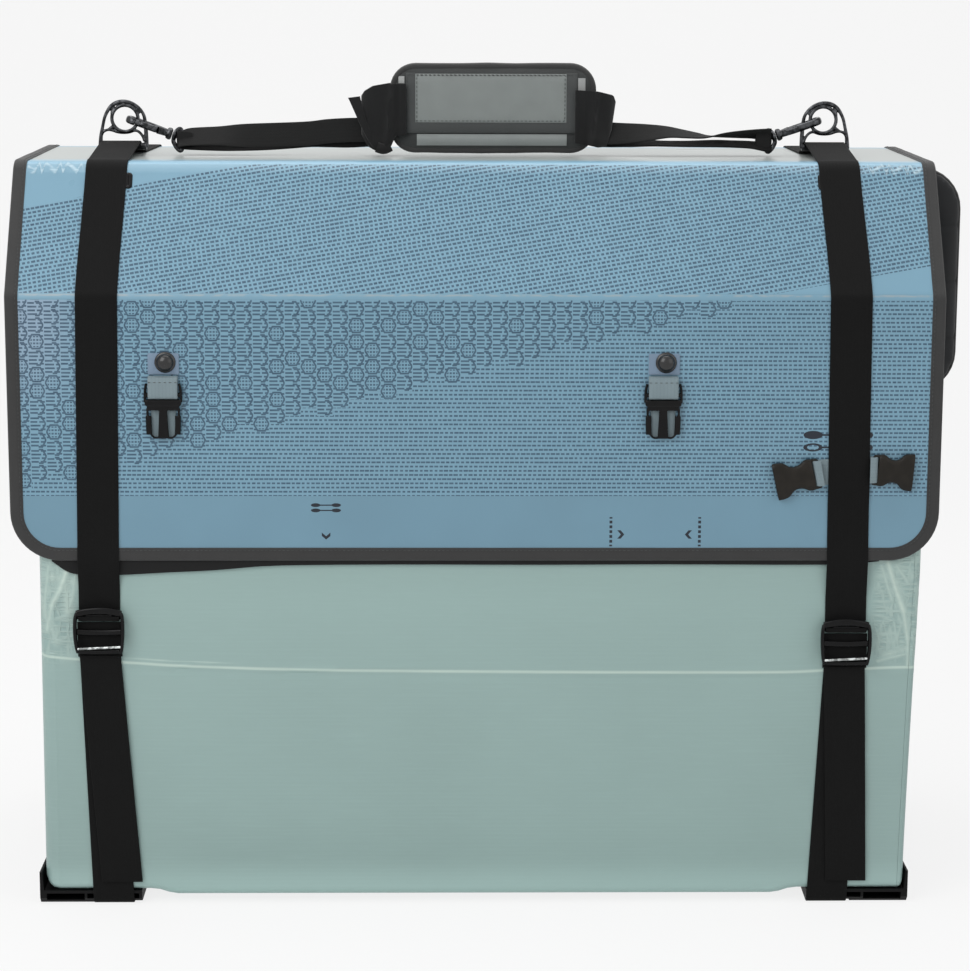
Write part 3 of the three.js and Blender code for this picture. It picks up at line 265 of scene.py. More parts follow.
def hull_finish():
    base = tuple(colours().hull)
    f = Finish("hull_sheet", rough=0.42)
    x, y, z = f.place()
    flute = (z * (math.tau / 4.2)).sine() * 0.5 + 0.5
    wear_and_sheen = f.cloud(f.vector(x, y, z), 0.006, 2.0)
    fine = f.cloud(f.vector(x * 0.02, y * 0.02, z * 0.5), 1.0, 2.0)
    score_z = f.math("EXPONENT", (x + 430.0) * (-1 / 160.0)) * 17.0 + x.ease(300.0, 430.0) * 4.4 + SCORE
    first, second = (z - score_z).size(), (z - score_z - 4.6).size()
    # Painted shade: the sheet's colour grows darker towards the bottom
    ground = f.mix(z.ease(60.0, 420.0), tint(base, 0.93), tint(base, 1.04))
    ground = f.mix(wear_and_sheen.ease(0.3, 0.7) * 0.5, ground, tint(base, 1.05))
    ground = f.mix(fine.ease(0.45, 0.75) * 0.16, ground, tint(base, 1.16))
    # Painted highlight: a lighter band along the sheet's rounded bottom edge
    ground = f.mix(z.ease(52.0, 12.0) * 0.7, ground, tint(base, 1.35))
    second = second.ease(1.4, 0.2) * fine.ease(0.4, 0.6) * (x + 290.0).size().ease(70.0, 20.0)
    stress = first.ease(2.3, 0.4) * (fine * 0.5 + 0.5) + second * 0.5
    outer = x.size().ease(386.0, 400.0) * z.ease(236.0, 272.0)
    folds = f.cloud(f.vector(x * 0.11, y * 0.05, z * 0.025), 1.0, 2.0)
    ripples = f.cloud(f.vector(x * 0.025, y * 0.05, z * 0.2), 1.0, 1.0)
    ridges = ((folds - 0.5).size() * -12.0 + 0.9).most((ripples - 0.5).size() * -10.0 + 0.9).most(0.0) * outer * 0.8
    # Partly painted highlight, partly whitened plastic: the crests of the outer ridges and crinkles, and the pale
    # patches, turn pale on the front face
    pale = ridges * 0.6
    for start, end, height, wide in CRINKLES:
        crest = f.streak(x, z, start, end, wide)
        ridges = ridges.most(crest * (height / 1.9))
        pale = pale.most(crest * (height / 1.9) * (ripples * 0.7 + 0.65))
    for start, end, share, wide in WHITENING_AND_GLINTS:
        pale = pale.most(f.streak(x, z, start, end, wide) * (folds * 1.2 + 0.1) * share)
    on_front_face = y < 0.0
    f.colour(f.mix(stress.most(pale * 0.85 * on_front_face).least(1.0), ground, paint("ccdfd5")))
    f.rough(wear_and_sheen * 0.14 + 0.32)
    f.bump(flute, 0.07, 0.4)
    f.bump(ridges, 1.1, 0.7)
    return f.material


def rows_of_dashes(f, u, v, pitch, dash, duty, thick):
    """Short strokes in rows: u runs along the rows and v across them."""
    row = (v / pitch).floor()
    across = ((v / pitch).fract() - 0.5).size()
    along = u / dash + f.chance(f.vector(row, 3.1)) * 7.0
    lengths = f.chance(f.vector(row, along.floor(), 5.3)) * 0.4 + duty
    stroke = (along.fract() - 0.5).size() < (lengths * 0.5)
    return (across < (thick / pitch / 2)) * stroke


def chine_print(f, x, up):
    """Rows of strokes and dots that rise to the right, with two plain wedges."""
    turn = math.radians(11.8)
    u = x * math.cos(turn) + up * math.sin(turn)
    v = up * math.cos(turn) - x * math.sin(turn)
    strokes = rows_of_dashes(f, u, v, 4.5, 4.7, 0.5, 2.45)
    return strokes * ((up - x * 0.238) < 201.0) * ((up - x * 0.2) > -54.0)


def front_print(f, x, z):
    """Level rows of dashes, and above a slanting line a brickwork of small cells."""
    wide, tall = 15.4, 16.0
    column = (x / wide).floor()
    lifted = z + ((column * 0.5).fract() > 0.25) * (tall / 2)
    block = (lifted / tall).floor()
    px = ((x / wide).fract() - 0.5) * wide
    pz = ((lifted / tall).fract() - 0.5) * tall
    hexagon = pz.size().most(pz.size() * 0.5 + px.size() * 0.92)
    ring = (hexagon - 6.7).size() < 0.9
    dots = (((px / 3.1).fract() - 0.5).size() < 0.34) * (((pz / 3.4).fract() - 0.5).size() < 0.27) * (hexagon < 5.4)
    cut = f.chance(f.vector(column, (pz / 3.6).floor(), block + 2.3)) * 3.4
    stack = (((pz / 3.6).fract() - 0.5).size() < 0.25) * (px.size() < 7.2) * ((px - cut).size() > 0.9)
    kind = f.chance(f.vector(column, block, 1.7)) > 0.3
    outside = stack * (hexagon > 7.6)
    cells = kind.pick(ring.most(dots).most(outside), stack.most(ring * (px > 0.0)))
    rows = rows_of_dashes(f, x, z, 4.15, 4.8, 0.52, 1.8)
    above = (((block + 0.5) * tall - (lifted - z)) - (column + 0.5) * (wide * 0.262)) > 539.0
    return above.pick(rows, cells) * (z > 417.0)


def small_marks(x, z):
    """Plain printed marks near the hem: paired ovals on a line, arrows and dotted lines."""
    def oval(cx, cz, a, b):
        return ((x - cx) / a) * ((x - cx) / a) + ((z - cz) / b) * ((z - cz) / b)

    def bar(x0, x1, cz, half):
        return ((x - (x0 + x1) / 2).size() < (x1 - x0) / 2) * ((z - cz).size() < half)

    marks = oval(327.6, 477.4, 9.4, 4.1) < 1.0
    marks = marks.most(((oval(327.6, 465.2, 9.4, 4.1) - 0.68).size()) < 0.32)
    for cz in (477.4, 465.2):
        marks = marks.most(bar(336.0, 384.0, cz, 0.9)).most(oval(381.0, cz, 5.0, 3.2) < 1.0)
    for cz in (407.9, 402.7):
        marks = marks.most(bar(-158.0, -134.0, cz, 0.6))
        for cx in (-156.0, -136.0):
            marks = marks.most(oval(cx, cz, 4.6, 1.9) < 1.0)
    for cx in (131.9, 218.6):
        dots = (((z / 4.8).fract() - 0.5).size() < 0.3) * ((x - cx).size() < 1.4)
        marks = marks.most(dots * ((z - 381.5).size() < 14.6))
    for a, b, cx, cz, way in ((x, z, -146.0, 375.4, 1.0), (z, x, 378.8, 143.4, -1.0), (z, x, 378.8, 206.0, 1.0)):
        off = (a - cx).size()
        marks = marks.most((((b - cz) * way - off * 0.85).size() < 1.7) * (off < 4.2))
    return marks


def board_finish():
    """The floorboard's glossy plastic: printed on its front and chine, plain and pale on top."""
    base, dark, pale = tuple(colours().board), tuple(colours().print_dark), tuple(colours().top)
    f = Finish("printed_board", rough=0.3)
    x, y, z = f.place(unbent=True)
    wear_and_sheen = f.cloud(f.vector(x, y, z), 0.008, 2.0)
    up = z * 0.826 - y.size() * 0.564 - 389.3
    blotch = f.cloud(f.vector(x * 0.09, up * 0.3), 1.0, 2.0)
    fold = (up - 0.2).size()
    inked = fold.ease(2.8, 3.4)
    on_chine = up > 0.0
    marks = small_marks(x, z) * (up < -6.0)
    strokes = on_chine.pick(front_print(f, x, z), chine_print(f, x, up)) * inked * (up < 147.0)
    field = (z > 417.0) * inked
    ground = f.mix(wear_and_sheen.ease(0.3, 0.7), tint(base, 0.96), tint(base, 1.04))
    ground = f.mix(field * 0.6, ground, tint(base, 1.26))
    # Paler towards the upper left end of the front panel
    paler_left_end = field * x.ease(-360.0, -430.0) * up.ease(-120.0, -10.0) * on_chine.flip()
    ground = f.mix(paler_left_end * 0.35, ground, paint("b9bdd2"))
    # Painted highlight: the crease band is lighter, with bright rims along its edges
    ground = f.mix(fold.ease(3.4, 2.0) * 0.3, ground, tint(base, 1.5))
    crease_rim_glints = (up - 1.4).size().ease(1.7, 0.2) * blotch.ease(0.36, 0.62)
    ground = f.mix(crease_rim_glints * 0.6, ground, tint(pale, 0.98))
    inky = f.mix(strokes * (blotch * 0.4 + 0.6).least(1.0), ground, dark)
    inky = f.mix(marks, inky, paint("0d1826"))
    # Painted highlight along the rounded crease at the edge of the top
    band = up.ease(146.0, 149.0)
    inky = f.mix(band * 0.75, inky, tint(base, 1.55))
    topped = f.mix(up.ease(150.0, 172.0), inky, f.mix(wear_and_sheen.ease(0.3, 0.7), tint(pale, 0.94), tint(pale, 1.06)))
    reach = x.size()
    lobe = (reach * (math.tau / 10.4) + (reach * 0.31).sine() * 1.3).sine()
    curl = (up - 142.5 - lobe * 4.5).size()
    # Painted highlight: pale squiggles along the buckles at the ends of the upper crease; the same mask also raises
    # their relief
    curls_and_highlight = curl.ease(4.6, 0.6) * blotch.ease(0.3, 0.6) * reach.ease(383.0, 388.0) * reach.ease(441.0, 437.0)
    f.colour(f.mix(curls_and_highlight * 0.6, topped, paint("c8e0ea")))
    f.rough(wear_and_sheen * 0.12 + 0.24)
    f.bump((x * (math.tau / 4.6)).sine() * 0.5 + 0.5, 0.03, 0.25)
    f.bump(curls_and_highlight + wear_and_sheen * 0.6, 1.0, 0.5)
    return f.material


def cloth_finish(name, colour, rib, rough=0.85, uv=False):
    """Close woven cloth or tape."""
    f = Finish(name, rough=rough)
    x, y, z = f.place(uv)
    a, b = (x, y) if uv else (x + y * 0.7, z + y * 0.3)
    warp = (a * (math.tau / rib)).sine()
    weft = (b * (math.tau / (rib * 0.8))).sine()
    weave = warp * weft * 0.5 + 0.5
    worn = f.cloud(f.vector(a, b, 0.0 if uv else y), 0.05, 4.0)
    f.colour(f.mix(weave * 0.5 + worn * 0.4, tint(colour, 0.78), tint(colour, 1.3)))
    f.bump(weave, 0.25, 0.6)
    f.set({"Sheen Weight": 0.25, "Sheen Roughness": 0.5, "Specular IOR Level": 0.3})
    return f.material


def webbing_finish(name, colour):
    """Flat woven strap: ribs along it with a slanting twill, on the strap's own map."""
    f = Finish(name, rough=0.82)
    u, v, _ = f.place(uv=True)
    side = ((u / 3.4).fract() - 0.5).size()
    slant = (v + side * 3.4) / 1.5
    twill = (slant * math.tau).sine() * 0.5 + 0.5
    rib = side.ease(0.5, 0.36)
    weave = twill * 0.7 + rib * 0.3
    worn = f.cloud(f.vector(u * 0.6, v * 0.25, 1.0), 0.06, 4.0)
    f.colour(f.mix(weave * 0.45 + worn * 0.4, tint(colour, 0.7), tint(colour, 1.4)))
    f.bump(weave, 0.3, 0.7)
    f.set({"Sheen Weight": 0.05, "Sheen Roughness": 0.4, "Specular IOR Level": 0.12})
    return f.material


def plastic_finish(name, colour, rough, grain, shine):
    """Moulded plastic with a fine grain and patches of wear."""
    f = Finish(name, rough=rough)
    x, y, z = f.place()
    where = f.vector(x, y, z)
    fine = f.cloud(where, 1.6, 2.0)
    wear_and_sheen = f.cloud(where, 0.08, 3.0)
    f.colour(f.mix(wear_and_sheen.ease(0.35, 0.75), tint(colour, 0.85), tint(colour, 1.25)))
    f.rough(wear_and_sheen * 0.2 + (rough - 0.1))
    f.bump(fine, grain, 0.5)
    f.set({"Specular IOR Level": shine})
    return f.material


def metal_finish(name, colour, rough, metal):
    """Metal with scratches along X, its colour patched dark and light as wear and as painted highlights."""
    f = Finish(name, rough=rough, metal=metal)
    x, y, z = f.place()
    wear_and_sheen = f.cloud(f.vector(x, y, z), 0.22, 4.0)
    scratch = f.cloud(f.vector(x * 0.1, y * 2.0, z * 2.0), 1.2, 2.0)
    # Painted highlights, with some wear: the colour runs from dark to light in soft patches
    f.colour(f.mix(wear_and_sheen.ease(0.38, 0.66), tint(colour, 0.55), tint(colour, 2.0)))
    f.rough(wear_and_sheen * 0.2 + (rough - 0.1))
    f.bump(scratch, 0.04, 0.4)
    return f.material


FINISHES = {}


def make_finishes():
    c = {key: tuple(getattr(colours(), key)) for key in KayakColours.__annotations__}
    cap = tint(c["plastic"], 0.8)
    FINISHES.update({"hull": hull_finish(), "board": board_finish()})
    for name, material, colour in (("webbing", "strap_webbing", c["webbing"]), ("tab", "tab_webbing", c["tab"]),
                                   ("shoulder", "shoulder_webbing", paint("262626"))):
        FINISHES[name] = webbing_finish(material, colour)
    for name, material, colour, rib, rough in (
            ("binding_cad", "binding_edge", c["binding"], 1.1, 0.85),
            ("webbing_cad", "strap_webbing_plain", c["webbing"], 1.3, 0.85),
            # The lip's near-black cloth is partly painted shade under the hem
            ("lip", "hem_lip_cloth", paint("0c0c0d"), 1.4, 0.85),
            ("tab_cad", "tab_webbing_plain", c["tab"], 1.3, 0.85),
            ("pad", "pad_cloth", c["pad"], 1.2, 0.85),
            ("seat", "seat_cloth", c["seat"], 1.6, 0.85),
            ("band", "band_webbing", paint("0b0b0c"), 1.4, 0.85),
            ("pad_dark", "pad_dark_cloth", paint("3b3d3d"), 1.2, 0.85),
            # The pale mesh cloth on the pad's corners is partly painted highlight
            ("mesh", "pad_mesh_cloth", paint("a2a4a3"), 2.0, 0.5),
            ("washer", "rivet_webbing", paint("7f93a8"), 1.5, 0.85),
            ("pad_gloss", "pad_strip_cloth", paint("8e9392"), 1.0, 0.45),
            ("pad_frame", "pad_frame_webbing", paint("4a4c4c"), 1.4, 0.85)):
        FINISHES[name] = cloth_finish(material, colour, rib, rough)
    FINISHES["binding"] = cloth_finish("binding_tape", c["binding"], 1.1, uv=True)
    for name, material, colour, rough, grain, shine in (
            ("plastic", "moulded_plastic", c["plastic"], 0.3, 0.05, 0.16),
            ("socket", "socket_plastic", paint("26231f"), 0.35, 0.05, 0.16),
            ("skid", "skid_plastic", tint(c["plastic"], 0.5), 0.6, 0.15, 0.16),
            ("gloss", "glossy_plastic", cap, 0.15, 0.01, 0.16),
            ("rivet", "rivet_cap", cap, 0.24, 0.01, 0.6),
            ("thread", "sewing_thread", paint("4e5050"), 0.6, 0.05, 0.16)):
        FINISHES[name] = plastic_finish(material, colour, rough, grain, shine)
    for name, material, colour, rough, metal in (("metal", "gunmetal", paint("3c3d3f"), 0.22, 0.9),
                                                 # The bar finish is a bright metal that paints the highlight along the
                                                 # lock's plastic lower bar
                                                 ("bar", "polished_bar", paint("a9adac"), 0.3, 1.0),
                                                 ("tube", "drawn_aluminium", paint("b4b7b9"), 0.38, 1.0)):
        FINISHES[name] = metal_finish(material, colour, rough, metal)


# Meshes

def linked(name, data):
    obj = bpy.data.objects.new(name, data)
    bpy.context.scene.collection.objects.link(obj)
    return obj


def painted(obj, finish_name):
    obj.data.materials.clear()
    obj.data.materials.append(FINISHES[finish_name])
    obj.data.shade_smooth()
    return obj


def shown(mesh, finish_name, slot, body=None, nodes=()):
    """A finished piece: its mesh, finish, body and the frame's nodes it stands for. Its slot is not used."""
    obj = painted(linked(mesh.name, mesh), finish_name)
    return dress(obj, body, nodes) if body else obj


def dress(obj, body, nodes=()):
    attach(obj, body)
    if nodes:
        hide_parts(*nodes)
    return obj


def settled(obj):
    """Applies an object's modifiers to its mesh."""
    bpy.context.view_layer.update()
    graph = bpy.context.evaluated_depsgraph_get()
    mesh = bpy.data.meshes.new_from_object(obj.evaluated_get(graph))
    obj.modifiers.clear()
    obj.data = mesh
    return obj


def fused(obj, voxel):
    """Adds a remesh that melts the object's shells into one skin."""
    melt = obj.modifiers.new("melt", "REMESH")
    melt.mode = "VOXEL"
    melt.voxel_size = voxel


def faced_out(mesh, merge=0.0):
    """Turns a mesh's faces outwards, after points closer than a distance are merged."""
    bm = bmesh.new()
    bm.from_mesh(mesh)
    if merge:
        bmesh.ops.remove_doubles(bm, verts=bm.verts, dist=merge)
    bmesh.ops.recalc_face_normals(bm, faces=bm.faces)
    bm.to_mesh(mesh)
    bm.free()
    return mesh


def mark_sharp(mesh, degrees=35.0):
    """Smooth faces with sharp edges where they meet at more than an angle."""
    bm = bmesh.new()
    bm.from_mesh(mesh)
    limit = math.radians(degrees)
    for edge in bm.edges:
        edge.smooth = not (len(edge.link_faces) == 2 and edge.calc_face_angle() > limit)
    for face in bm.faces:
        face.smooth = True
    bm.to_mesh(mesh)
    bm.free()
    return mesh


def mesh_from(name, points, faces, maps=None, degrees=35.0):
    """A mesh with outward faces. Maps gives the u and v of each point, in metres."""
    mesh = bpy.data.meshes.new(name)
    mesh.from_pydata(points, [], faces)
    if maps:
        layer = mesh.uv_layers.new(name="along")
        for loop in mesh.loops:
            layer.data[loop.index].uv = maps[loop.vertex_index]
    faced_out(mesh)
    mesh.update()
    return mark_sharp(mesh, degrees)


def tube_faces(rows, count, closed=False):
    """Faces of a tube through rows of points, with its ends capped or run into each other."""
    faces = []
    for r in range(rows if closed else rows - 1):
        here, ahead = r * count, (r + 1) % rows * count
        for i in range(count):
            then = (i + 1) % count
            faces.append((here + i, here + then, ahead + then, ahead + i))
    if not closed:
        faces += [tuple(range(count))[::-1], tuple((rows - 1) * count + i for i in range(count))]
    return faces


def sheet_faces(rows, columns, left_out=()):
    """Faces of a sheet of two layers of points, closed along its rim and round its holes."""
    wide, size = columns + 1, (rows + 1) * (columns + 1)
    kept = [(r, c) for r in range(rows) for c in range(columns) if (r, c) not in left_out]
    cells = set(kept)
    faces = []
    for r, c in kept:
        a, b = r * wide + c, r * wide + c + 1
        d, e = a + wide, b + wide
        faces.append((a, b, e, d))
        faces.append((d + size, e + size, b + size, a + size))
        for other, (p, q) in (((r - 1, c), (a, b)), ((r + 1, c), (e, d)),
                              ((r, c - 1), (d, a)), ((r, c + 1), (b, e))):
            if other not in cells:
                faces.append((q, p, p + size, q + size))
    return faces


def skin(name, rings, maps=None, degrees=35.0):
    """A closed skin through rings of points that all have the same count."""
    points = [point for ring in rings for point in ring]
    uv = [pair for ring in maps for pair in ring] if maps else None
    return mesh_from(name, points, tube_faces(len(rings), len(rings[0])), uv, degrees)


def arc(cx, cy, radius, start, end, steps):
    """Points on a circle from one angle to another."""
    return [(cx + radius * math.cos(a), cy + radius * math.sin(a))
            for a in (start + (end - start) * i / steps for i in range(steps + 1))]


def rounded_outline(left, right, base, top, corner, steps=8):
    centres = ((right - corner, base + corner), (right - corner, top - corner),
               (left + corner, top - corner), (left + corner, base + corner))
    return [point for k, (cx, cz) in enumerate(centres)
            for point in arc(cx, cz, corner, QUARTER * (k - 1), QUARTER * k, steps)]


def divided(outline, step):
    """A closed outline with more points on its long sides."""
    fine = []
    for (x0, z0), (x1, z1) in zip(outline, outline[1:] + outline[:1]):
        count = max(1, round(math.hypot(x1 - x0, z1 - z0) / step))
        fine += [(x0 + (x1 - x0) * i / count, z0 + (z1 - z0) * i / count) for i in range(count)]
    return fine


def ramp(value, start, end):
    """0 below start, 1 above end, straight between."""
    return max(0.0, min(1.0, (value - start) / (end - start)))


def eased(t):
    t = max(0.0, min(1.0, t))
    return t * t * (3 - 2 * t)


def bell(distance, wide):
    return math.exp(-(distance / wide) ** 2)


def wander(x, y, z, height=1.0):
    """Smooth noise between minus and plus a height."""
    return noise.noise(Vector((x, y, z))) * height


def strap_section(width, thick, centred=False):
    """The rounded section of a strap: pairs of across and off the surface, in millimetres."""
    r, half, steps = thick / 2, width / 2, 10
    flat = [-half + r + (width - thick) * i / steps for i in range(steps + 1)]
    points = [(a, 0.0) for a in flat] + arc(half - r, r, r, -QUARTER, QUARTER, 4)[1:-1]
    points += [(-a, thick) for a in flat] + arc(r - half, r, r, QUARTER, 3 * QUARTER, 4)[1:-1]
    return [(a, n - r) for a, n in points] if centred else points


def ribbon(name, stations, section, start=0.0):
    """Sweeps a section along stations of (point, across, off). The map runs along it."""
    rings, maps, run, last = [], [], start, stations[0][0]
    for point, across, off in stations:
        run += (point - last).length
        last = point
        rings.append([at(*(point + across * a + off * n)) for a, n in section])
        maps.append([(a * MM, run * MM) for a, n in section])
    return skin(name, rings, maps)


def strap(name, stations, section, body=None, nodes=(), start=0.0, finish_name="webbing", slot="webbing"):
    """A stretch of webbing as a finished piece."""
    return shown(ribbon(name, stations, section, start), finish_name, slot, body, nodes)


# The lid's outer line in Y and Z, from the front hem over the top to the back hem

HULL_HALF = 430.0
HULL_FACE = 200.0
LID_HALF = 453.0
LID_FACE = 206.0
TOP_FACE = 122.0
LID_TOP = 735.0
CHINE = 612.0
HEM = 358.0
FRONT_HEM = 352.5
SLOT_X = 339.5
BOARD = 4.5
LID_CORNERS = [(-LID_FACE, FRONT_HEM), (-LID_FACE, CHINE), (-TOP_FACE, LID_TOP),
               (TOP_FACE, LID_TOP), (LID_FACE, CHINE), (LID_FACE, HEM)]
CREASE_SPAN = 12.0
HEM_INSET = 1.8
LID_NODES = ["lid_front_panel", "lid_front_chine", "lid_top_panel", "lid_back_chine", "lid_back_panel"]
# The hem tape's inner edge, near-black, which also stands for the shadow under the hem: x and the height it hangs down
# to
HEM_LIP_AND_SHADOW = [(-414, 351.5), (-408, 347.0), (-400, 341.6), (-390, 338.6), (-366, 337.4), (-342, 338.0),
           (-300, 340.3), (-257, 342.4), (-205, 346.6), (-150, 347.8), (-60, 348.2), (60, 347.9),
           (190, 348.3), (330, 347.9), (372, 349.2), (396, 351.4)]
BODIES = ["front_panel", "front_chine", "lid_top", "back_chine", "back_panel"]
SIDES = ((-1, "left"), (1, "right"))


class LidLine:
    """Stations along the lid's line, with its creases rounded."""

    def __init__(self, corners, radii):
        self.runs, self.creases, total = [], [], 0.0
        corners = [Vector(corner) for corner in corners]
        point = corners[0]
        for before, corner, after, radius in zip(corners, corners[1:], corners[2:], radii):
            way, onward = (corner - before).normalized(), (after - corner).normalized()
            bend = way.angle(onward)
            cut = radius * math.tan(bend / 2)
            end = corner - way * cut
            self.runs.append((total, point, way, 0.0))
            total += (end - point).length
            self.runs.append((total, end, way, radius))
            self.creases.append(total + radius * bend / 2)
            total += radius * bend
            point = corner + onward * cut
        self.runs.append((total, point, onward, 0.0))
        self.length = total + (corners[-1] - point).length

    def at(self, s, n=0.0):
        """The point, the way along and the way out at a station, n out from the face."""
        start, point, way, radius = next((run for run in reversed(self.runs) if s >= run[0]), self.runs[0])
        off = Vector((-way.y, way.x))
        if not radius:
            return point + way * (s - start) + off * n, way, off
        centre = point - off * radius
        spin = Matrix.Rotation(-(s - start) / radius, 2)
        return centre + spin @ off * (radius + n), spin @ way, spin @ off

    def panel(self, k, edge=0.0):
        """Where panel k starts and ends, between the strips over its creases."""
        return (self.creases[k - 1] + CREASE_SPAN if k else edge,
                self.creases[k] - CREASE_SPAN if k < 4 else self.length - edge)

    def fold(self, i):
        """Where the strip over crease i starts and ends."""
        return self.creases[i] - CREASE_SPAN, self.creases[i] + CREASE_SPAN


def ripple(x, s, creases, height):
    """How far the board stands off its flat shape."""
    near = min(abs(s - c) for c in creases)
    return wander(x / 150, s / 120, 4.2, height) + math.exp(-near / 5.0) * wander(x / 11, s / 30, 1.3, height * 1.6)


def scallops(x, s, line):
    """Gathered buckles of the board at the outer ends of its upper front crease."""
    if not 382.0 < abs(x) < 441.0:
        return 0.0
    near = s - line.creases[1] + 7.0
    wave = math.sin(abs(x) * math.tau / 10.4 + 1.3 * math.sin(abs(x) * 0.31))
    return 0.9 * bell(near - 6.0 * wave, 3.0)


def board_mesh(name, line, start, end, half_at, slots=()):
    """A stretch of the board between two stations, with its thickness and any slots. Each
    point's place at rest is noted, so that the print stays put when a crease opens."""
    rows = max(2, round((end - start) / 5.0))
    stations = [start + (end - start) * i / rows for i in range(rows + 1)]
    columns = [LID_HALF * (i / 60 - 1) for i in range(121)]
    for x0, x1, s0, s1 in slots:
        stations = snapped(stations, (s0, s1))
        columns = snapped(columns, (x0, x1))
    height = sizes().board_waves / MM
    points = []
    for layer in (0, 1):
        for s in stations:
            share = half_at(s) / LID_HALF
            for x in (c * share for c in columns):
                lift = ripple(x, s, line.creases, height) + scallops(x, s, line)
                place = line.at(s, lift - BOARD * layer)[0]
                points.append(at(x, place.x, place.y))
    holes = {(r, c) for r in range(len(stations) - 1) for c in range(len(columns) - 1)
             if any(x0 < (columns[c] + columns[c + 1]) / 2 < x1 and s0 < (stations[r] + stations[r + 1]) / 2 < s1
                    for x0, x1, s0, s1 in slots)}
    faces = sheet_faces(len(stations) - 1, len(columns) - 1, holes)
    used = sorted({i for face in faces for i in face})
    place_of = {old: new for new, old in enumerate(used)}
    mesh = mesh_from(name, [points[i] for i in used], [tuple(place_of[i] for i in face) for face in faces])
    noted = mesh.attributes.new(UNBENT, "FLOAT_VECTOR", "POINT")
    noted.data.foreach_set("vector", [c for vertex in mesh.vertices for c in vertex.co])
    return mesh


def snapped(values, wanted):
    """Moves the nearest inner values onto the wanted ones."""
    values = list(values)
    for target in wanted:
        nearest = min(range(1, len(values) - 1), key=lambda i: abs(values[i] - target))
        values[nearest] = target
    return sorted(values)


def hem_half(s, length, corner, half):
    """Half the width of the lid at a station, with rounded corners at both hems."""
    inset = min(s, length - s)
    if inset >= corner:
        return half
    return half - corner + math.sqrt(max(0.0, corner ** 2 - (corner - inset) ** 2))


def lid_line():
    fold, roll = sizes().crease_radius / MM, sizes().top_radius / MM
    return LidLine(LID_CORNERS, [fold, roll, roll, fold])


def edge_section(width, proud, corner=2.4):
    """The section of the folded tape: pairs of inward from the edge and off the face."""
    top, low = proud, -BOARD - proud
    turns = [QUARTER + math.pi * i / 6 for i in range(7)]
    points = [(corner + corner * math.cos(a), (top - corner if i < 4 else low + corner) + corner * math.sin(a))
              for i, a in enumerate(turns)]
    return points + [(corner + 2.5, low - 0.1), (width * 0.6, low), (width - 0.6, low), (width, low + 0.5),
                     (width, top - 0.5), (width - 0.6, top), (width * 0.6, top + 0.05), (corner + 2.5, top + 0.1)]


def tape_wave(x, s):
    return wander(x / 40, s / 40, 9.0, 0.3)


def edge_tape(name, line, path):
    """Sweeps the folded tape along points of (x, station, inward x, inward station)."""
    section = edge_section(sizes().binding_width / MM, sizes().binding_proud / MM)
    rings, maps, run, last = [], [], 0.0, path[0]
    for x, s, dx, ds in path:
        run += math.hypot(x - last[0], s - last[1])
        last = (x, s)
        ring = []
        for w, n in section:
            place = line.at(s + ds * w, n + (tape_wave(x, s) if n > 0 else 0.0))[0]
            ring.append(at(x + dx * w, place.x, place.y))
        rings.append(ring)
        maps.append([(w * MM + (0.02 if n < -1 else 0), run * MM) for w, n in section])
    return skin(name, rings, maps, degrees=50.0)


def seam(line, path):
    """Places along the seam that is set in from the tape's edge."""
    inset, off = sizes().binding_width / MM - 2.4, sizes().binding_proud / MM + 0.15
    places = []
    for x, s, dx, ds in path:
        place = line.at(s + ds * inset, off + tape_wave(x, s))[0]
        places.append(at(x + dx * inset, place.x, place.y))
    return places


def hem_path(line, side_top, corner, back):
    """The lid's edge round one hem, from one side to the other."""
    points = [(-LID_HALF, side_top - i * 8.0, 1.0, 0.0) for i in range(int((side_top - corner) / 8.0) + 1)]
    for a in (math.pi + QUARTER * i / 12 for i in range(13)):
        points.append((-LID_HALF + corner + corner * math.cos(a), corner + corner * math.sin(a),
                       -math.cos(a), -math.sin(a)))
    half = list(points)
    points += [(-LID_HALF + corner + (2 * LID_HALF - 2 * corner) * i / 60, 0.0, 0.0, 1.0) for i in range(1, 60)]
    points += [(-x, s, -dx, ds) for x, s, dx, ds in reversed(half)]
    return [(x, line.length - s, dx, -ds) for x, s, dx, ds in points] if back else points


def side_path(side, start, end, step=8.0):
    count = max(2, round((end - start) / step))
    return [(side * LID_HALF, start + (end - start) * i / count, -side, 0.0) for i in range(count + 1)]


def blended(piece, line, i):
    """Bakes the placement of a piece over crease i, between two panels of the lid, into its mesh; nothing bends it."""
    start, end = (line.at(line.creases[i] + reach)[0] for reach in (-5.0, 5.0))
    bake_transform(piece)


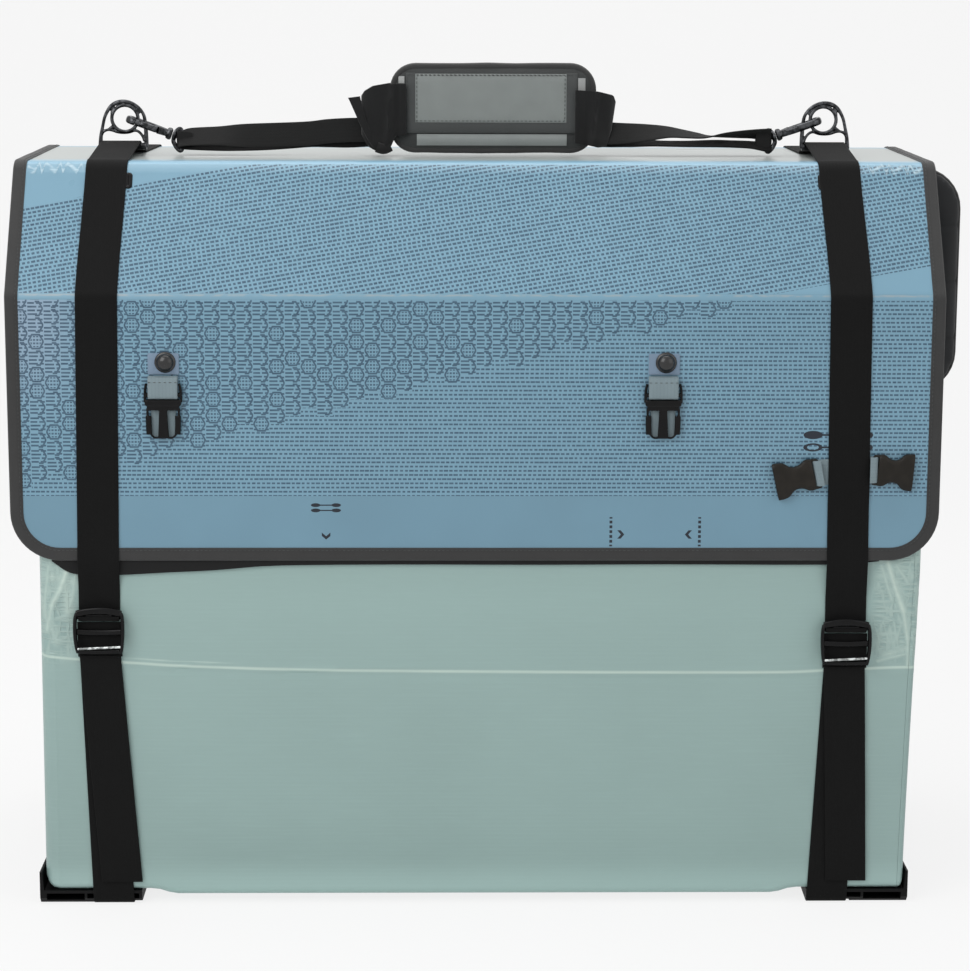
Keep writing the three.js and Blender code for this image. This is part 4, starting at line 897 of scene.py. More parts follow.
class KAYAK_OT_lid(bpy.types.Operator):
    """Builds the floorboard that wraps over the hull, with its four creases"""
    bl_idname = "kayak.lid"
    bl_label = "Lid board"

    def execute(self, context):
        line = lid_line()
        width = lambda s: hem_half(s - HEM_INSET, line.length - 2 * HEM_INSET, 46.2, LID_HALF - HEM_INSET)
        slot_end = line.panel(1)[1] - 1.5
        slots = [(side * SLOT_X - 2.25, side * SLOT_X + 2.25, slot_end - 15.0, slot_end) for side in (-1, 1)]
        for k, body in enumerate(BODIES):
            mesh = board_mesh(f"board_{body}", line, *line.panel(k, HEM_INSET), width, slots if k == 1 else ())
            shown(mesh, "board", "floor_board", body, [LID_NODES[k]])
        for i in range(4):
            mesh = board_mesh(f"board_crease_{BODIES[i]}_{BODIES[i + 1]}", line, *line.fold(i), width)
            blended(shown(mesh, "board", "floor_board"), line, i)
        for side, word in SIDES:
            self.liner(line, side * SLOT_X, slot_end, word)
        self.lip()
        return {"FINISHED"}

    def liner(self, line, x, end, word):
        """The dark moulded rim of a slot in the chine."""
        path = []
        for px, s in rounded_outline(x - 1.9, x + 1.9, end - 14.6, end - 0.4, 1.6, 3):
            place = line.at(s, 0.2)[0]
            path.append((px, place.x, place.y))
        off = line.at(end - 8)[2]
        bar_piece(f"slot_liner_{word}", swept_bar(path, 2.0, 1.1, (0, off.x, off.y), closed=True, count=8),
                  "plastic", "buckle_plastic", "front_chine")

    def lip(self):
        """The inner edge of the hem's tape, which hangs out below it and droops at the left; its near-black strip also
        paints the shadow under the hem.
        """
        rings = []
        for p in smooth_path([(x, 0.0, z) for x, z in HEM_LIP_AND_SHADOW], 5):
            ring = [(p.x, -203.6 + 1.2 * share, 354.4 - (354.4 - p.z) * share) for share in (0.0, 0.35, 0.7, 1.0)]
            rings.append([at(x, y - 0.9, z) for x, y, z in ring] + [at(x, y + 0.9, z) for x, y, z in ring[::-1]])
        shown(skin("hem_lip", rings, degrees=60.0), "lip", "binding", "front_panel")


class KAYAK_OT_binding(bpy.types.Operator):
    """Sews the tape round the lid's edges and its stitches"""
    bl_idname = "kayak.binding"
    bl_label = "Binding tape"

    def execute(self, context):
        line = lid_line()
        for word, back in (("front", False), ("back", True)):
            top = line.length - line.panel(4)[0] if back else line.panel(0)[1]
            self.taped(f"{word}_hem", line, hem_path(line, top, 48.0, back), f"{word}_panel",
                       [f"{word}_panel_binding"])
        for side, word in SIDES:
            for k in (1, 2, 3):
                self.taped(f"{word}_{BODIES[k]}", line, side_path(side, *line.panel(k)), BODIES[k])
            for i in range(4):
                for piece in self.taped(f"{word}_crease_{i + 1}", line, side_path(side, *line.fold(i), 2.0)):
                    blended(piece, line, i)
        return {"FINISHED"}

    def taped(self, name, line, path, body=None, nodes=()):
        """A stretch of tape and its row of stitches."""
        return (shown(edge_tape(f"binding_{name}", line, path), "binding", "binding", body, nodes),
                sewn(f"stitches_{name}", seam(line, path), body))


def stitch_tree():
    """Nodes that lay one stitch after another along a line of edges."""
    if "stitches" in bpy.data.node_groups:
        return bpy.data.node_groups["stitches"]
    tree = bpy.data.node_groups.new("stitches", "GeometryNodeTree")
    kinds = {"Line": "Geometry", "Pitch": "Float", "Length": "Float", "Thread": "Float", "Seed": "Int",
             "Finish": "Material"}
    for label, kind in kinds.items():
        tree.interface.new_socket(label, in_out="INPUT", socket_type=f"NodeSocket{kind}")
    tree.interface.new_socket("Stitches", in_out="OUTPUT", socket_type="NodeSocketGeometry")
    start, end, curve, spread, drop, tangent, turn, chance, stretch, size, laid, real, dyed = (
        tree.nodes.new(kind) for kind in (
            "NodeGroupInput", "NodeGroupOutput", "GeometryNodeMeshToCurve", "GeometryNodeResampleCurve",
            "GeometryNodeMeshUVSphere", "GeometryNodeInputTangent", "FunctionNodeAlignRotationToVector",
            "FunctionNodeRandomValue", "ShaderNodeMath", "ShaderNodeCombineXYZ", "GeometryNodeInstanceOnPoints",
            "GeometryNodeRealizeInstances", "GeometryNodeSetMaterial"))
    spread.mode, turn.axis, chance.data_type, stretch.operation = "LENGTH", "Z", "FLOAT", "MULTIPLY"
    for node, label, value in ((drop, "Segments", 8), (drop, "Rings", 5), (drop, "Radius", 0.5),
                               (chance, 2, 0.86), (chance, 3, 1.08)):
        node.inputs[label].default_value = value
    for a, out, b, into in ((start, "Line", curve, "Mesh"), (curve, "Curve", spread, "Curve"),
                            (start, "Pitch", spread, "Length"), (spread, "Curve", laid, "Points"),
                            (drop, "Mesh", laid, "Instance"), (tangent, "Tangent", turn, "Vector"),
                            (turn, "Rotation", laid, "Rotation"), (start, "Seed", chance, "Seed"),
                            (start, "Length", stretch, 0), (chance, 1, stretch, 1), (start, "Thread", size, "X"),
                            (start, "Thread", size, "Y"), (stretch, 0, size, "Z"), (size, "Vector", laid, "Scale"),
                            (laid, "Instances", real, "Geometry"), (real, "Geometry", dyed, "Geometry"),
                            (start, "Finish", dyed, "Material"), (dyed, "Geometry", end, "Stitches")):
        tree.links.new(a.outputs[out], b.inputs[into])
    return tree


def sewn(name, places, body=None):
    """A row of stitches along places, as one plain mesh."""
    mesh = bpy.data.meshes.new(name)
    mesh.from_pydata(places, [(i, i + 1) for i in range(len(places) - 1)], [])
    obj = linked(name, mesh)
    rows = obj.modifiers.new("stitches", "NODES")
    rows.node_group = stitch_tree()
    values = {"Pitch": sizes().stitch_pitch, "Length": sizes().stitch_length, "Thread": sizes().thread,
              "Seed": 7, "Finish": FINISHES["thread"]}
    for item in rows.node_group.interface.items_tree:
        if item.name in values:
            rows[item.identifier] = values[item.name]
    settled(obj).data.shade_smooth()
    return dress(obj, body) if body else obj


# The hull: sheets that are folded in X and swept round the U of the box

SHEET = 4.5
PITCH = 6.0
FOOT = 14.0
HULL_CORNER = 8.0
SCORE = 239.0
BELLY = 5.5
SIDE_SHARES = ([0.43 * i / 14 for i in range(14)] + [0.43 + 0.29 * i / 46 for i in range(46)]
               + [0.72 + 0.28 * i / 20 for i in range(21)])
# Sharp folds of the sheet and pale patches on it, pale partly as whitened plastic and partly as painted highlight: (x,
# z) of both ends, height or strength, and width
CRINKLES = [((-399, 344), (-407, 323), 2.2, 5.0), ((-407, 323), (-416, 306), 1.9, 4.6),
            ((-416, 306), (-421, 282), 1.5, 4.0), ((-391, 340), (-397, 306), 1.1, 3.4),
            ((-418, 346), (-424, 300), 1.2, 3.0), ((405, 350), (413, 325), 1.9, 4.4),
            ((413, 325), (422, 300), 2.1, 4.4), ((422, 300), (427, 272), 1.8, 3.6),
            ((427, 272), (428, 246), 1.4, 3.2), ((399, 346), (410, 312), 1.2, 3.0),
            ((414, 346), (425, 330), 1.2, 3.0), ((398, 250), (426, 257), 1.1, 2.8)]
WHITENING_AND_GLINTS = [((-420, 336), (-392, 330), 0.8, 12.0), ((-402, 326), (-400, 300), 1.0, 9.0),
           ((-424, 304), (-412, 270), 0.7, 7.0), ((413, 330), (420, 306), 0.9, 8.0),
           ((400, 336), (420, 342), 0.5, 8.0), ((404, 256), (426, 262), 0.7, 7.0)]


def u_path(depth, top):
    """Stations round the hull's U at a depth inside its face, from the back rim to the front."""
    half, base = HULL_FACE - depth, FOOT + depth
    right = [(half, top - (top - base - HULL_CORNER) * share) for share in SIDE_SHARES]
    right += arc(half - HULL_CORNER, base + HULL_CORNER, HULL_CORNER, 0, -QUARTER, 6)[1:]
    right += [(half - HULL_CORNER - (2 * half - 2 * HULL_CORNER) * i / 16, base) for i in range(1, 9)]
    return right + [(-y, z) for y, z in reversed(right[:-1])]


def score_height(x):
    """The height of the hull's score line, which runs up towards the left edge."""
    return SCORE + 17.0 * math.exp(-(x + 430.0) / 160.0) + 4.4 * eased((x - 300.0) / 130.0)


def hull_wave(x, y, z, depth):
    """How far the hull's sheet stands out from flat, and how far it leans to the right."""
    height = ramp(z, 20.0, 340.0)
    lean = (sizes().hull_lean / MM) * height ** 1.3 * ramp(x, 250.0, 430.0) ** 1.5
    lean += 1.6 * height * ramp(-x, 370.0, 420.0)
    near = 1.0 - max(0.0, depth - SHEET) / 8.0
    if near <= 0.0 or z < 14.5:
        return 0.0, lean
    swell = wander(x / 210, z / 170, 2.0 + y / 400, 0.5) * eased((z - 16.0) / 30.0)
    belly = 1 - math.exp(-max(0.0, 340.0 - abs(x)) / 42.0)
    swell += 3.4 * belly * eased((346.0 - z) / 60.0) * eased((z - 16.0) / 70.0)
    score = z - score_height(x)
    swell += 1.2 * bell(score, 1.7) - 1.0 * bell(score + 3.4, 2.6)
    if y < 0 and z < 356.0:
        outer = eased((abs(x) - 388.0) / 16.0) * eased((z - 240.0) / 30.0)
        swell += crinkle(x, z)
        swell += outer * (wander(x / 7.0, z / 34.0, 5.0, 1.3) + wander(x / 30.0, z / 5.0, 1.0, 0.8))
    return swell * near, lean


def crinkle(x, z):
    """Sharp folds of the hull's sheet beside the straps, whose crests the hull's finish paints pale, partly as painted
    highlight.
    """
    total = 0.0
    for start, end, height, wide in CRINKLES:
        run, off = Vector(end) - Vector(start), Vector((x, z)) - Vector(start)
        t = max(0.0, min(1.0, off.dot(run) / run.length_squared))
        off = off - run * t
        total += height * math.exp(-(off.length / wide) ** 1.3) * math.sin(math.pi * (0.15 + t * 0.7))
    return total


def folded_sheet(name, line, top_of):
    """A stretch of the hull sheet: its folded line in X and depth, swept round the U."""
    outline = offset_line(line, -SHEET / 2) + offset_line(line, SHEET / 2)[::-1]
    rings = []
    for ends in zip(*(u_path(n, top_of(n)) for x, n in outline)):
        ring = []
        for (x, n), (y, z) in zip(outline, ends):
            push, lean = hull_wave(x, y, z, n)
            if z > FOOT + n + HULL_CORNER:
                y += math.copysign(push, y)
            sag = BELLY * eased((322.0 - abs(x)) / 24.0) * eased((60.0 - z) / 46.0) * max(0.0, 1 - n / 12.0)
            ring.append(at(x + lean, y, z - sag))
        rings.append(ring)
    return skin(name, rings, degrees=40.0)


def offset_line(line, distance):
    """A flat line moved to its left by a distance, mitred at its bends."""
    points = [Vector(p) for p in line]
    ways = [(b - a).normalized() for a, b in zip(points, points[1:])]
    moved = []
    for point, before, after in zip(points, ways[:1] + ways, ways + ways[-1:]):
        along = (before + after).normalized()
        reach = distance / along.dot(before)
        moved.append((point.x - along.y * reach, point.y + along.x * reach))
    return moved


def straight(x0, x1, n, step=9.0):
    """A level run in X, in finer steps near the box's ends."""
    way = 1 if x1 > x0 else -1
    xs = [x0]
    while abs(x1 - xs[-1]) > 4.0:
        xs.append(xs[-1] + way * (2.6 if abs(xs[-1]) > 380.0 and n < SHEET else step))
    return [(x, n) for x in xs[:-1] if abs(x1 - x) > 1.5] + [(x1, n)]


def half_turn(x, n, radius, way):
    """A half round fold from depth n to n plus two radii, bulging to the left or right."""
    return arc(x, n + radius, radius, -QUARTER, -QUARTER + math.pi * way, 8)[1:]


class KAYAK_OT_hull(bpy.types.Operator):
    """Builds the folded hull sheet: five sections that nest in each other"""
    bl_idname = "kayak.hull"
    bl_label = "Hull sheet"

    def execute(self, context):
        mid = lambda layer: layer * PITCH + SHEET / 2
        fold, wrap = PITCH / 2, 2 * PITCH
        right_x = HULL_HALF - fold - SHEET / 2 - 1
        left_x = wrap + SHEET / 2 + 1 - HULL_HALF
        flap = math.tan((math.atan2(123, 84) * -1 + QUARTER + math.radians(60)) / 2)
        level = lambda layer: (lambda n: 590.0 - layer * 5)
        turned_right = lambda layer: half_turn(right_x + 1, mid(layer), fold, 1)
        sheets = {
            "hull_middle_section": (straight(left_x, right_x, mid(0)), lambda n: 610.6 - n * flap),
            "bow_section": ([(right_x, mid(0))] + turned_right(0) + straight(right_x, left_x + 0.3, mid(1)), level(1)),
            "bow_tip_section": (
                [(left_x, mid(1))] + half_turn(left_x - 1, mid(1), fold, -1) + straight(left_x, right_x, mid(2))
                + turned_right(2) + straight(right_x, right_x - 310, mid(3)), level(2)),
            "stern_section": (
                [(left_x + 0.3, mid(0))] + half_turn(left_x - 1, mid(0), wrap, -1)
                + straight(left_x, right_x - 0.3, mid(4)), level(4)),
            "stern_tip_section": (
                [(right_x, mid(4))] + turned_right(4) + straight(right_x, -right_x, mid(5))
                + half_turn(-right_x - 1, mid(5), fold, -1) + straight(-right_x, 310 - right_x, mid(6)), level(5)),
        }
        for node, (line, top) in sheets.items():
            shown(folded_sheet("sheet_" + node, line, top), "hull", "hull_sheet", "hull", [node])
        return {"FINISHED"}


# The body straps: how far each runs from the middle, at its stations from the top down

STRAP_RING, STRAP_REAR, STRAP_BACK = 356.0, 352.0, 366.0
STRAP_TOP = {-1: 361.5, 1: 357.5}
STRAP_CHINE = {-1: 364.8, 1: 361.4}
STRAP_LOCK = {-1: 369.0, 1: 364.7}
STRAP_FEET = {-1: (361.0, 352.0), 1: (353.2, 371.6)}
RING_Y, RING_BAR_Z, RING_BAR = -30.0, 744.0, 3.6
LOCK_Z = {-1: 297.0, 1: 285.0}
LOCK_Y = -205.2
SEAT = 0.3


def front_x(z, side):
    share = (CHINE - z) / (CHINE - LOCK_Z[side])
    return STRAP_CHINE[side] + (STRAP_LOCK[side] - STRAP_CHINE[side]) * share


def along_path(points, step=6.0):
    """Points of (x, y, z) made into stations, with even steps on the long runs."""
    fine = []
    for p, q in zip(points, points[1:]):
        p, q = Vector(p), Vector(q)
        count = max(1, round((q - p).length / step))
        fine += [p.lerp(q, i / count) for i in range(count)]
    fine.append(Vector(points[-1]))
    steps = [(q - p).normalized() for p, q in zip(fine, fine[1:])]
    stations = []
    for p, before, after in zip(fine, steps[:1] + steps, steps + steps[-1:]):
        way = (before + after).normalized()
        stations.append((p, Vector((1.0, 0.0, 0.0)), Vector((0.0, -way.z, way.y)).normalized()))
    return stations


def lid_stations(line, s0, s1, x_at, step):
    count = max(2, round((s1 - s0) / step))
    stations = []
    for s in (s0 + (s1 - s0) * i / count for i in range(count + 1)):
        place, _, off = line.at(s, SEAT)
        stations.append((Vector((x_at(s), place.x, place.y)), Vector((1, 0, 0)), Vector((0, off.x, off.y))))
    return stations


class KAYAK_OT_straps(bpy.types.Operator):
    """Lays the two body straps round the box, over the rings' bars and through the locks"""
    bl_idname = "kayak.straps"
    bl_label = "Body straps"

    def execute(self, context):
        line = lid_line()
        section = strap_section(sizes().strap_width / MM, sizes().webbing / MM)
        c1, c2, c3, c4 = line.creases
        for side, word in SIDES:
            chine_x, top_x, back_x = STRAP_CHINE[side], STRAP_TOP[side], STRAP_BACK - 3.0
            ways = [lambda s: side * front_x(FRONT_HEM + s, side),
                    lambda s: side * (chine_x + (top_x - chine_x) * eased((s - c1) / (c2 - c1))),
                    lambda s: side * (top_x + (STRAP_REAR - top_x) * (s - c2) / (c3 - c2)),
                    lambda s: side * (STRAP_REAR + (back_x - STRAP_REAR) * eased((s - c3) / (c4 - c3))),
                    lambda s: side * (back_x + 3.0 * eased((s - c4) / 254))]
            self.over_top(line, word, section, ways[2])
            for k, node in ((1, "front_chine_strap_"), (3, "back_chine_strap_")):
                start, end = line.panel(k)
                strap(f"strap_{word}_{BODIES[k]}", lid_stations(line, start, end, ways[k], 8.0), section,
                      BODIES[k], [node + word], start)
            for i, crease in enumerate(line.creases):
                start, end = line.fold(i)
                x_at = lambda s: ways[i](s) if s < crease else ways[i + 1](s)
                blended(strap(f"strap_{word}_crease_{i + 1}", lid_stations(line, start, end, x_at, 1.5), section,
                              start=start), line, i)
            self.front(line, side, word, section)
            self.back(line, word, section, ways[4])
            self.lower(side, word, section)
        return {"FINISHED"}

    def over_top(self, line, word, section, x_at):
        """Taut from the front crease up to the ring's bar, then down to the board behind it."""
        start, end = line.panel(2)
        begin, last = line.at(start, SEAT)[0], line.at(end, SEAT)[0]
        rise, fall = math.atan2(9.0 - SEAT, RING_Y - begin.x - 6.0), math.atan2(9.0 - SEAT, 40.0)
        crest = arc(RING_Y, RING_BAR_Z, RING_BAR + SEAT, QUARTER + rise, QUARTER - fall, 6)
        yz = [tuple(begin), *crest, (RING_Y + 40.0, LID_TOP + SEAT), tuple(last)]
        points = [(x_at(line.creases[1] + (y + TOP_FACE)), y, z) for y, z in yz]
        strap(f"strap_{word}_lid_top", along_path(points), section, "lid_top", [f"top_strap_{word}"], start)

    def front(self, line, side, word, section):
        """Down the lid's front from its crease, over the hem's tape and round the lock's top bar."""
        lock_z, top = LOCK_Z[side], line.panel(0)[1]
        face, proud = -LID_FACE - SEAT, -LID_FACE - SEAT - 1.2
        path = arc(LOCK_Y, lock_z, 3.0 + SEAT + sizes().webbing / MM, math.pi, math.tau, 10)
        path += [(-HULL_FACE - SEAT, lock_z + 5.0), (-HULL_FACE - 1.2, lock_z + 30.0), (proud, FRONT_HEM - 3.0),
                 (proud - 0.1, FRONT_HEM + 6.0), (proud, FRONT_HEM + 13.3), (face, FRONT_HEM + 19.0)]
        if side > 0:
            path += [(face, 409.0), (face - 1.9, 424.7), (face - 1.9, 451.0), (face, 466.0)]
        path.append((face, FRONT_HEM + top))
        points = [(side * front_x(max(z, lock_z), side), y, z) for y, z in path]
        strap(f"strap_{word}_front_panel", along_path(points), section, "front_panel", [f"front_strap_{word}"],
              top - 364)

    def back(self, line, word, section, x_at):
        """Down the lid's back from its crease and over the hem's tape."""
        start, face = line.panel(4)[0], LID_FACE + SEAT
        begin = line.at(start, SEAT)[0]
        path = [(begin.x, begin.y), (face, HEM + 19.0), (face + 1.2, HEM + 13.3), (face + 1.2, HEM)]
        points = [(x_at(start + begin.y - z), y, z) for y, z in path]
        strap(f"strap_{word}_back_panel", along_path(points), section, "back_panel", [f"back_strap_{word}"], start)

    def lower(self, side, word, section):
        """The lower strap under the box to its lock, and the free tail in front of it."""
        face, base, bend = HULL_FACE + SEAT, 0.3 + sizes().webbing / MM, 5.0
        lock_x, (ply_x, tail_x) = STRAP_LOCK[side], STRAP_FEET[side]
        corner = arc(face - bend, base + bend, bend, 0, -QUARTER, 5)
        foot = LOCK_Z[side] - 40.6
        path = [(STRAP_BACK, LID_FACE + SEAT + 1.2, HEM), (STRAP_BACK, face, HEM - 26.0)]
        path += [(STRAP_BACK - 8.0, y, z) for y, z in corner] + [(ply_x, -y, z) for y, z in corner[::-1]]
        path = [(side * x, y, z) for x, y, z in path + [(lock_x, -face, foot)]]
        strap(f"strap_{word}_lower", along_path(path), section, "hull", [f"lower_strap_{word}"])
        ply = -HULL_FACE - SEAT * 2 - sizes().webbing / MM
        points = []
        for t in (i / 30 for i in range(31)):
            wave = 0.9 * math.sin(t * 9.0 + side) * math.sin(math.pi * t)
            points.append((side * (tail_x + (lock_x - tail_x) * t), ply - abs(wave), 24.0 + (foot - 24.0) * t))
        strap(f"strap_{word}_tail", along_path(points), section, "hull", [f"strap_tail_{word}"])


# Cast and moulded pieces: closed shells that run into each other, melted into one skin

def swept_bar(path, half_wide, half_thick, flat=(0, 1, 0), closed=False, count=14, power=2.5):
    """A rounded bar along a flat path, whose half width may change with the share of the way
    that is done. Flat is the direction across the path's plane."""
    path, flat, total = [Vector(place) for place in path], Vector(flat), len(path)
    points = []
    for i, place in enumerate(path):
        before = path[(i - 1) % total] if closed or i else place
        after = path[(i + 1) % total] if closed or i + 1 < total else place
        inward = (after - before).normalized().cross(flat).normalized()
        wide = half_wide(i / (total - 1)) if callable(half_wide) else half_wide
        for k in range(count):
            u, v = (math.copysign(abs(c) ** (2 / power), c)
                    for c in (math.cos(math.tau * k / count), math.sin(math.tau * k / count)))
            points.append(place + inward * (u * wide) + flat * (v * half_thick))
    return points, tube_faces(total, count, closed)


def bar_piece(name, shell, *looks):
    """A shell in millimetres as a finished piece."""
    points, faces = shell
    return shown(mesh_from(name, [at(*p) for p in points], faces, degrees=60.0), *looks)


def turned(profile, along=(1, 0, 0), across=(0, 1, 0), start=(0, 0, 0), count=24):
    """A shell turned about a line: pairs of distance along it and radius."""
    along, across, start = Vector(along), Vector(across), Vector(start)
    other = along.cross(across)
    points = [start + along * d + (across * math.cos(a) + other * math.sin(a)) * r
              for d, r in profile for a in (math.tau * k / count for k in range(count))]
    return points, tube_faces(len(profile), count)


def smooth_path(points, steps=6, closed=False):
    """A smooth line through points."""
    points = [Vector(p) for p in points]
    total = len(points)
    out = []
    for i in range(total if closed else total - 1):
        p0 = points[(i - 1) % total] if closed or i else points[0]
        p1, p2 = points[i], points[(i + 1) % total]
        p3 = points[(i + 2) % total] if closed or i + 2 < total else points[-1]
        for t in (k / steps for k in range(steps)):
            out.append(0.5 * ((2 * p1) + (p2 - p0) * t + (2 * p0 - 5 * p1 + 4 * p2 - p3) * t ** 2
                              + (3 * p1 - p0 - 3 * p2 + p3) * t ** 3))
    return out if closed else out + [points[-1]]


def upright(pairs, y=0.0):
    """Pairs of x and z as places on a plane of constant y."""
    return [(x, y, z) for x, z in pairs]


def moulded(name, shells, place, voxel, smooth, finish_name, body, nodes=()):
    """Melts shells given in millimetres into one piece and puts it in its place."""
    points, faces = [], []
    for shell_points, shell_faces in shells:
        base = len(points)
        points += shell_points
        faces += [tuple(base + i for i in face) for face in shell_faces]
    mesh = bpy.data.meshes.new(name)
    mesh.from_pydata(points, [], faces)
    obj = linked(name, faced_out(mesh))
    fused(obj, voxel)
    relax = obj.modifiers.new("relax", "SMOOTH")
    relax.iterations = smooth
    relax.factor = 0.5
    settled(obj).data.transform(place)
    return dress(painted(obj, finish_name), body, nodes)


IN_METRES = Matrix.Translation((SHIFT, 0, 0)) @ Matrix.Scale(MM, 4)


def turn_about(axis, angle):
    return Matrix.Rotation(angle, 4, axis)


def lock_shells():
    """A ladder lock about the axis of its top bar."""
    half, shells = 22.8, []
    for side in (-1, 1):
        cheek = [(side * 21.8, -2.0, 3.4), (side * 23.0, -3.5, -2.0), (side * 23.4, -4.6, -12.0),
                 (side * 23.0, -5.0, -22.0), (side * 22.0, -4.2, -31.0), (side * 20.8, -3.2, side * -0.5 - 36)]
        shells.append(swept_bar(smooth_path(cheek), 3.3, 1.9, (1, 0, 0)))
    lip = [(-22.0, -2.6, 2.8), (-12, -4.0, 5.4), (0, -4.6, 6.4), (12, -4.0, 5.4), (22.0, -2.6, 2.8)]
    middle = [(-half, -1.8, -15.4), (-8, -1.3, -16.2), (8, -1.3, -16.2), (half, -1.8, -15.4)]
    rim = [(-half + 1, -3.4, -34.8), (0, -3.7, -35.4), (half - 1, -3.4, -34.8)]
    return shells + [swept_bar(smooth_path(lip), 3.4, 2.0), swept_bar([(-half, 0, 0), (half, 0, 0)], 2.9, 2.9),
                     swept_bar(smooth_path(middle), 3.0, 2.2), swept_bar(smooth_path(rim), 2.2, 1.7)]


def ring_shells():
    """A carrying ring about its bar, in X and Z, leaning a little to the middle of the box."""
    loop = [(-22.8, -1.0), (-22.4, 5.0), (-21.8, 11.5), (-20.0, 20.1), (-17.8, 29.1), (-14.1, 36.4), (-10.0, 41.0),
            (-4.2, 43.9), (2.8, 44.6), (10.2, 42.7), (16.8, 38.2), (20.9, 32.5), (22.6, 26.0), (23.6, 12.2),
            (23.8, -1.0)]
    web = [(-22.6, 6.0), (-21.6, 10.3), (-19.5, 14.2), (-15.5, 16.2), (-11, 15.9), (-5, 14.0), (1, 13.4), (7, 14.0),
           (12, 15.6), (16, 14.6), (19.8, 10.4), (21.8, 5.0)]
    struts = (([(-9.0, 20.0), (-13.5, 16.4)], 2.0, 1.7), ([(-10.9, 27.0), (-10.6, 34.0), (-9.0, 40.0)], 1.4, 1.7),
              ([(14.0, 37.0), (18.2, 33.5)], 2.8, 1.8), ([(-24, 0), (24, 0)], 3.5, 3.5))
    return [swept_bar(smooth_path(upright(loop), 5), lambda t: 1.95 + 0.3 * math.cos(4 * math.pi * t), 2.2),
            swept_bar(upright(arc(2.5, 27.8, 13.2, 0, math.tau, 36)[:-1]), 1.8, 2.3, closed=True),
            swept_bar(smooth_path(upright(web)), 1.4, 1.8)] + [
                swept_bar(upright(path), wide, thick) for path, wide, thick in struts]


def hook_shells():
    """A snap hook in its own plane of X and Y, from its nose to its collar."""
    loop = smooth_path([(10.0, -10.2), (6.6, -10.0), (3.2, -7.2), (2.2, -2.0), (3.6, 4.0), (8.0, 6.9),
                        (18.0, 6.9), (28.0, 6.2), (37.0, 3.2), (45.4, -1.7)])
    spur = smooth_path([(44.0, -1.9), (38.6, -5.6), (34.0, -9.6)])
    return [swept_bar(lying(loop), lambda t: 2.3 + 0.6 * t, 3.7, (0, 0, 1)),
            swept_bar(lying(spur), 2.6, 3.8, (0, 0, 1)),
            turned([(42.4, 2.6), (43.0, 5.4), (45.2, 6.3), (47.4, 6.1), (48.4, 4.6)], start=(0, -1.75, 0))]


def lying(path):
    """A flat path as places on the plane of X and Y."""
    return [p.to_3d() for p in path]


def gate_shells():
    """The hook's sprung gate with its thumb knob."""
    bar = lying(smooth_path([(10.5, -10.2), (20.0, -10.5), (30.0, -10.4), (32.9, -10.1)]))
    knob = [(0, 0.6), (0.3, 1.8), (1.6, 2.1), (2.6, 1.4), (2.9, 0.4)]
    return [swept_bar(bar, 2.0, 3.3, (0, 0, 1)), turned(knob, (0, -1, 0), (1, 0, 0), (17.0, -10.8, 0), 12)]


def eye_shells():
    """The swivel's collar and the eye that takes the webbing, in X and Z."""
    wire = [(51.4, 3.4), (52.8, 6.8), (54.8, 7.8), (56.6, 5.6), (58.2, 0.4), (60.4, -5.6), (62.4, -10.4),
            (61.2, -12.8), (57.6, -11.6), (53.6, -8.4), (51.2, -4.6)]
    return [swept_bar(smooth_path(upright(wire), 4, closed=True), 2.3, 2.3, closed=True),
            turned([(48.9, 3.4), (49.3, 5.6), (50.4, 6.0), (51.6, 5.4), (52.6, 4.0), (53.6, 2.4)])]


def ring_place(side):
    """The place of a ring in millimetres; the right one is turned to face the left one."""
    return (Matrix.Translation((side * STRAP_RING, RING_Y, RING_BAR_Z))
            @ turn_about("Z", 0.0 if side < 0 else math.pi))


def hook_place(side):
    return ring_place(side) @ Matrix.Translation((4.3, 0, 28.0)) @ turn_about("Y", HOOK_PITCH)


class KAYAK_OT_hardware(bpy.types.Operator):
    """Casts the carrying rings, the snap hooks and their swivels, and moulds the ladder locks"""
    bl_idname = "kayak.hardware"
    bl_label = "Rings, hooks and locks"

    def execute(self, context):
        for side, word in SIDES:
            ring, hook = IN_METRES @ ring_place(side), IN_METRES @ hook_place(side)
            for name, shells, place, voxel, smooth, body, node in (
                    ("ring", ring_shells(), ring, 0.42, 3, "carry_handle" if side < 0 else "ring_right", "carry_ring"),
                    ("hook", hook_shells(), hook, 0.36, 3, f"hook_{word}", "snap_hook"),
                    ("gate", gate_shells(), hook, 0.3, 2, f"gate_{word}", "hook_gate"),
                    ("eye", eye_shells(), hook, 0.36, 3, "carry_handle", "swivel_eye")):
                moulded(f"{name}_{word}", shells, place, voxel, smooth, "metal", body,
                        [f"{node}_{word}"])
            lock = IN_METRES @ Matrix.Translation((side * STRAP_LOCK[side], LOCK_Y, LOCK_Z[side]))
            moulded(f"lock_{word}", lock_shells(), lock, 0.5, 3, "gloss", f"lock_{word}",
                    [f"ladder_lock_{word}"])
            # The lock's lower bar, in a bright finish that paints the highlight along its top edge
            bar = swept_bar([(-21.5, -5.6, -31.8), (21.5, -5.6, -29.8)], 1.3, 1.5)
            mesh = mesh_from(f"lock_bar_{word}", *bar, degrees=60.0)
            mesh.transform(lock)
            shown(mesh, "bar", "hardware", f"lock_{word}")
            self.threaded(side, word)
        return {"FINISHED"}

    def threaded(self, side, word):
        """The webbing inside a lock, behind its bars."""
        path = [(3.5, -41.5), (3.3, -31.0), (2.4, -22.0), (2.4, -12.0), (2.8, -6.6)]
        points = [(side * STRAP_LOCK[side], LOCK_Y + y, LOCK_Z[side] + z) for y, z in path]
        section = strap_section(sizes().strap_width / MM + 3.2, sizes().webbing / MM, centred=True)
        strap(f"webbing_in_lock_{word}", along_path(points, 3.0), section, f"lock_{word}", [f"lock_webbing_{word}"])


# The shoulder strap and its pad

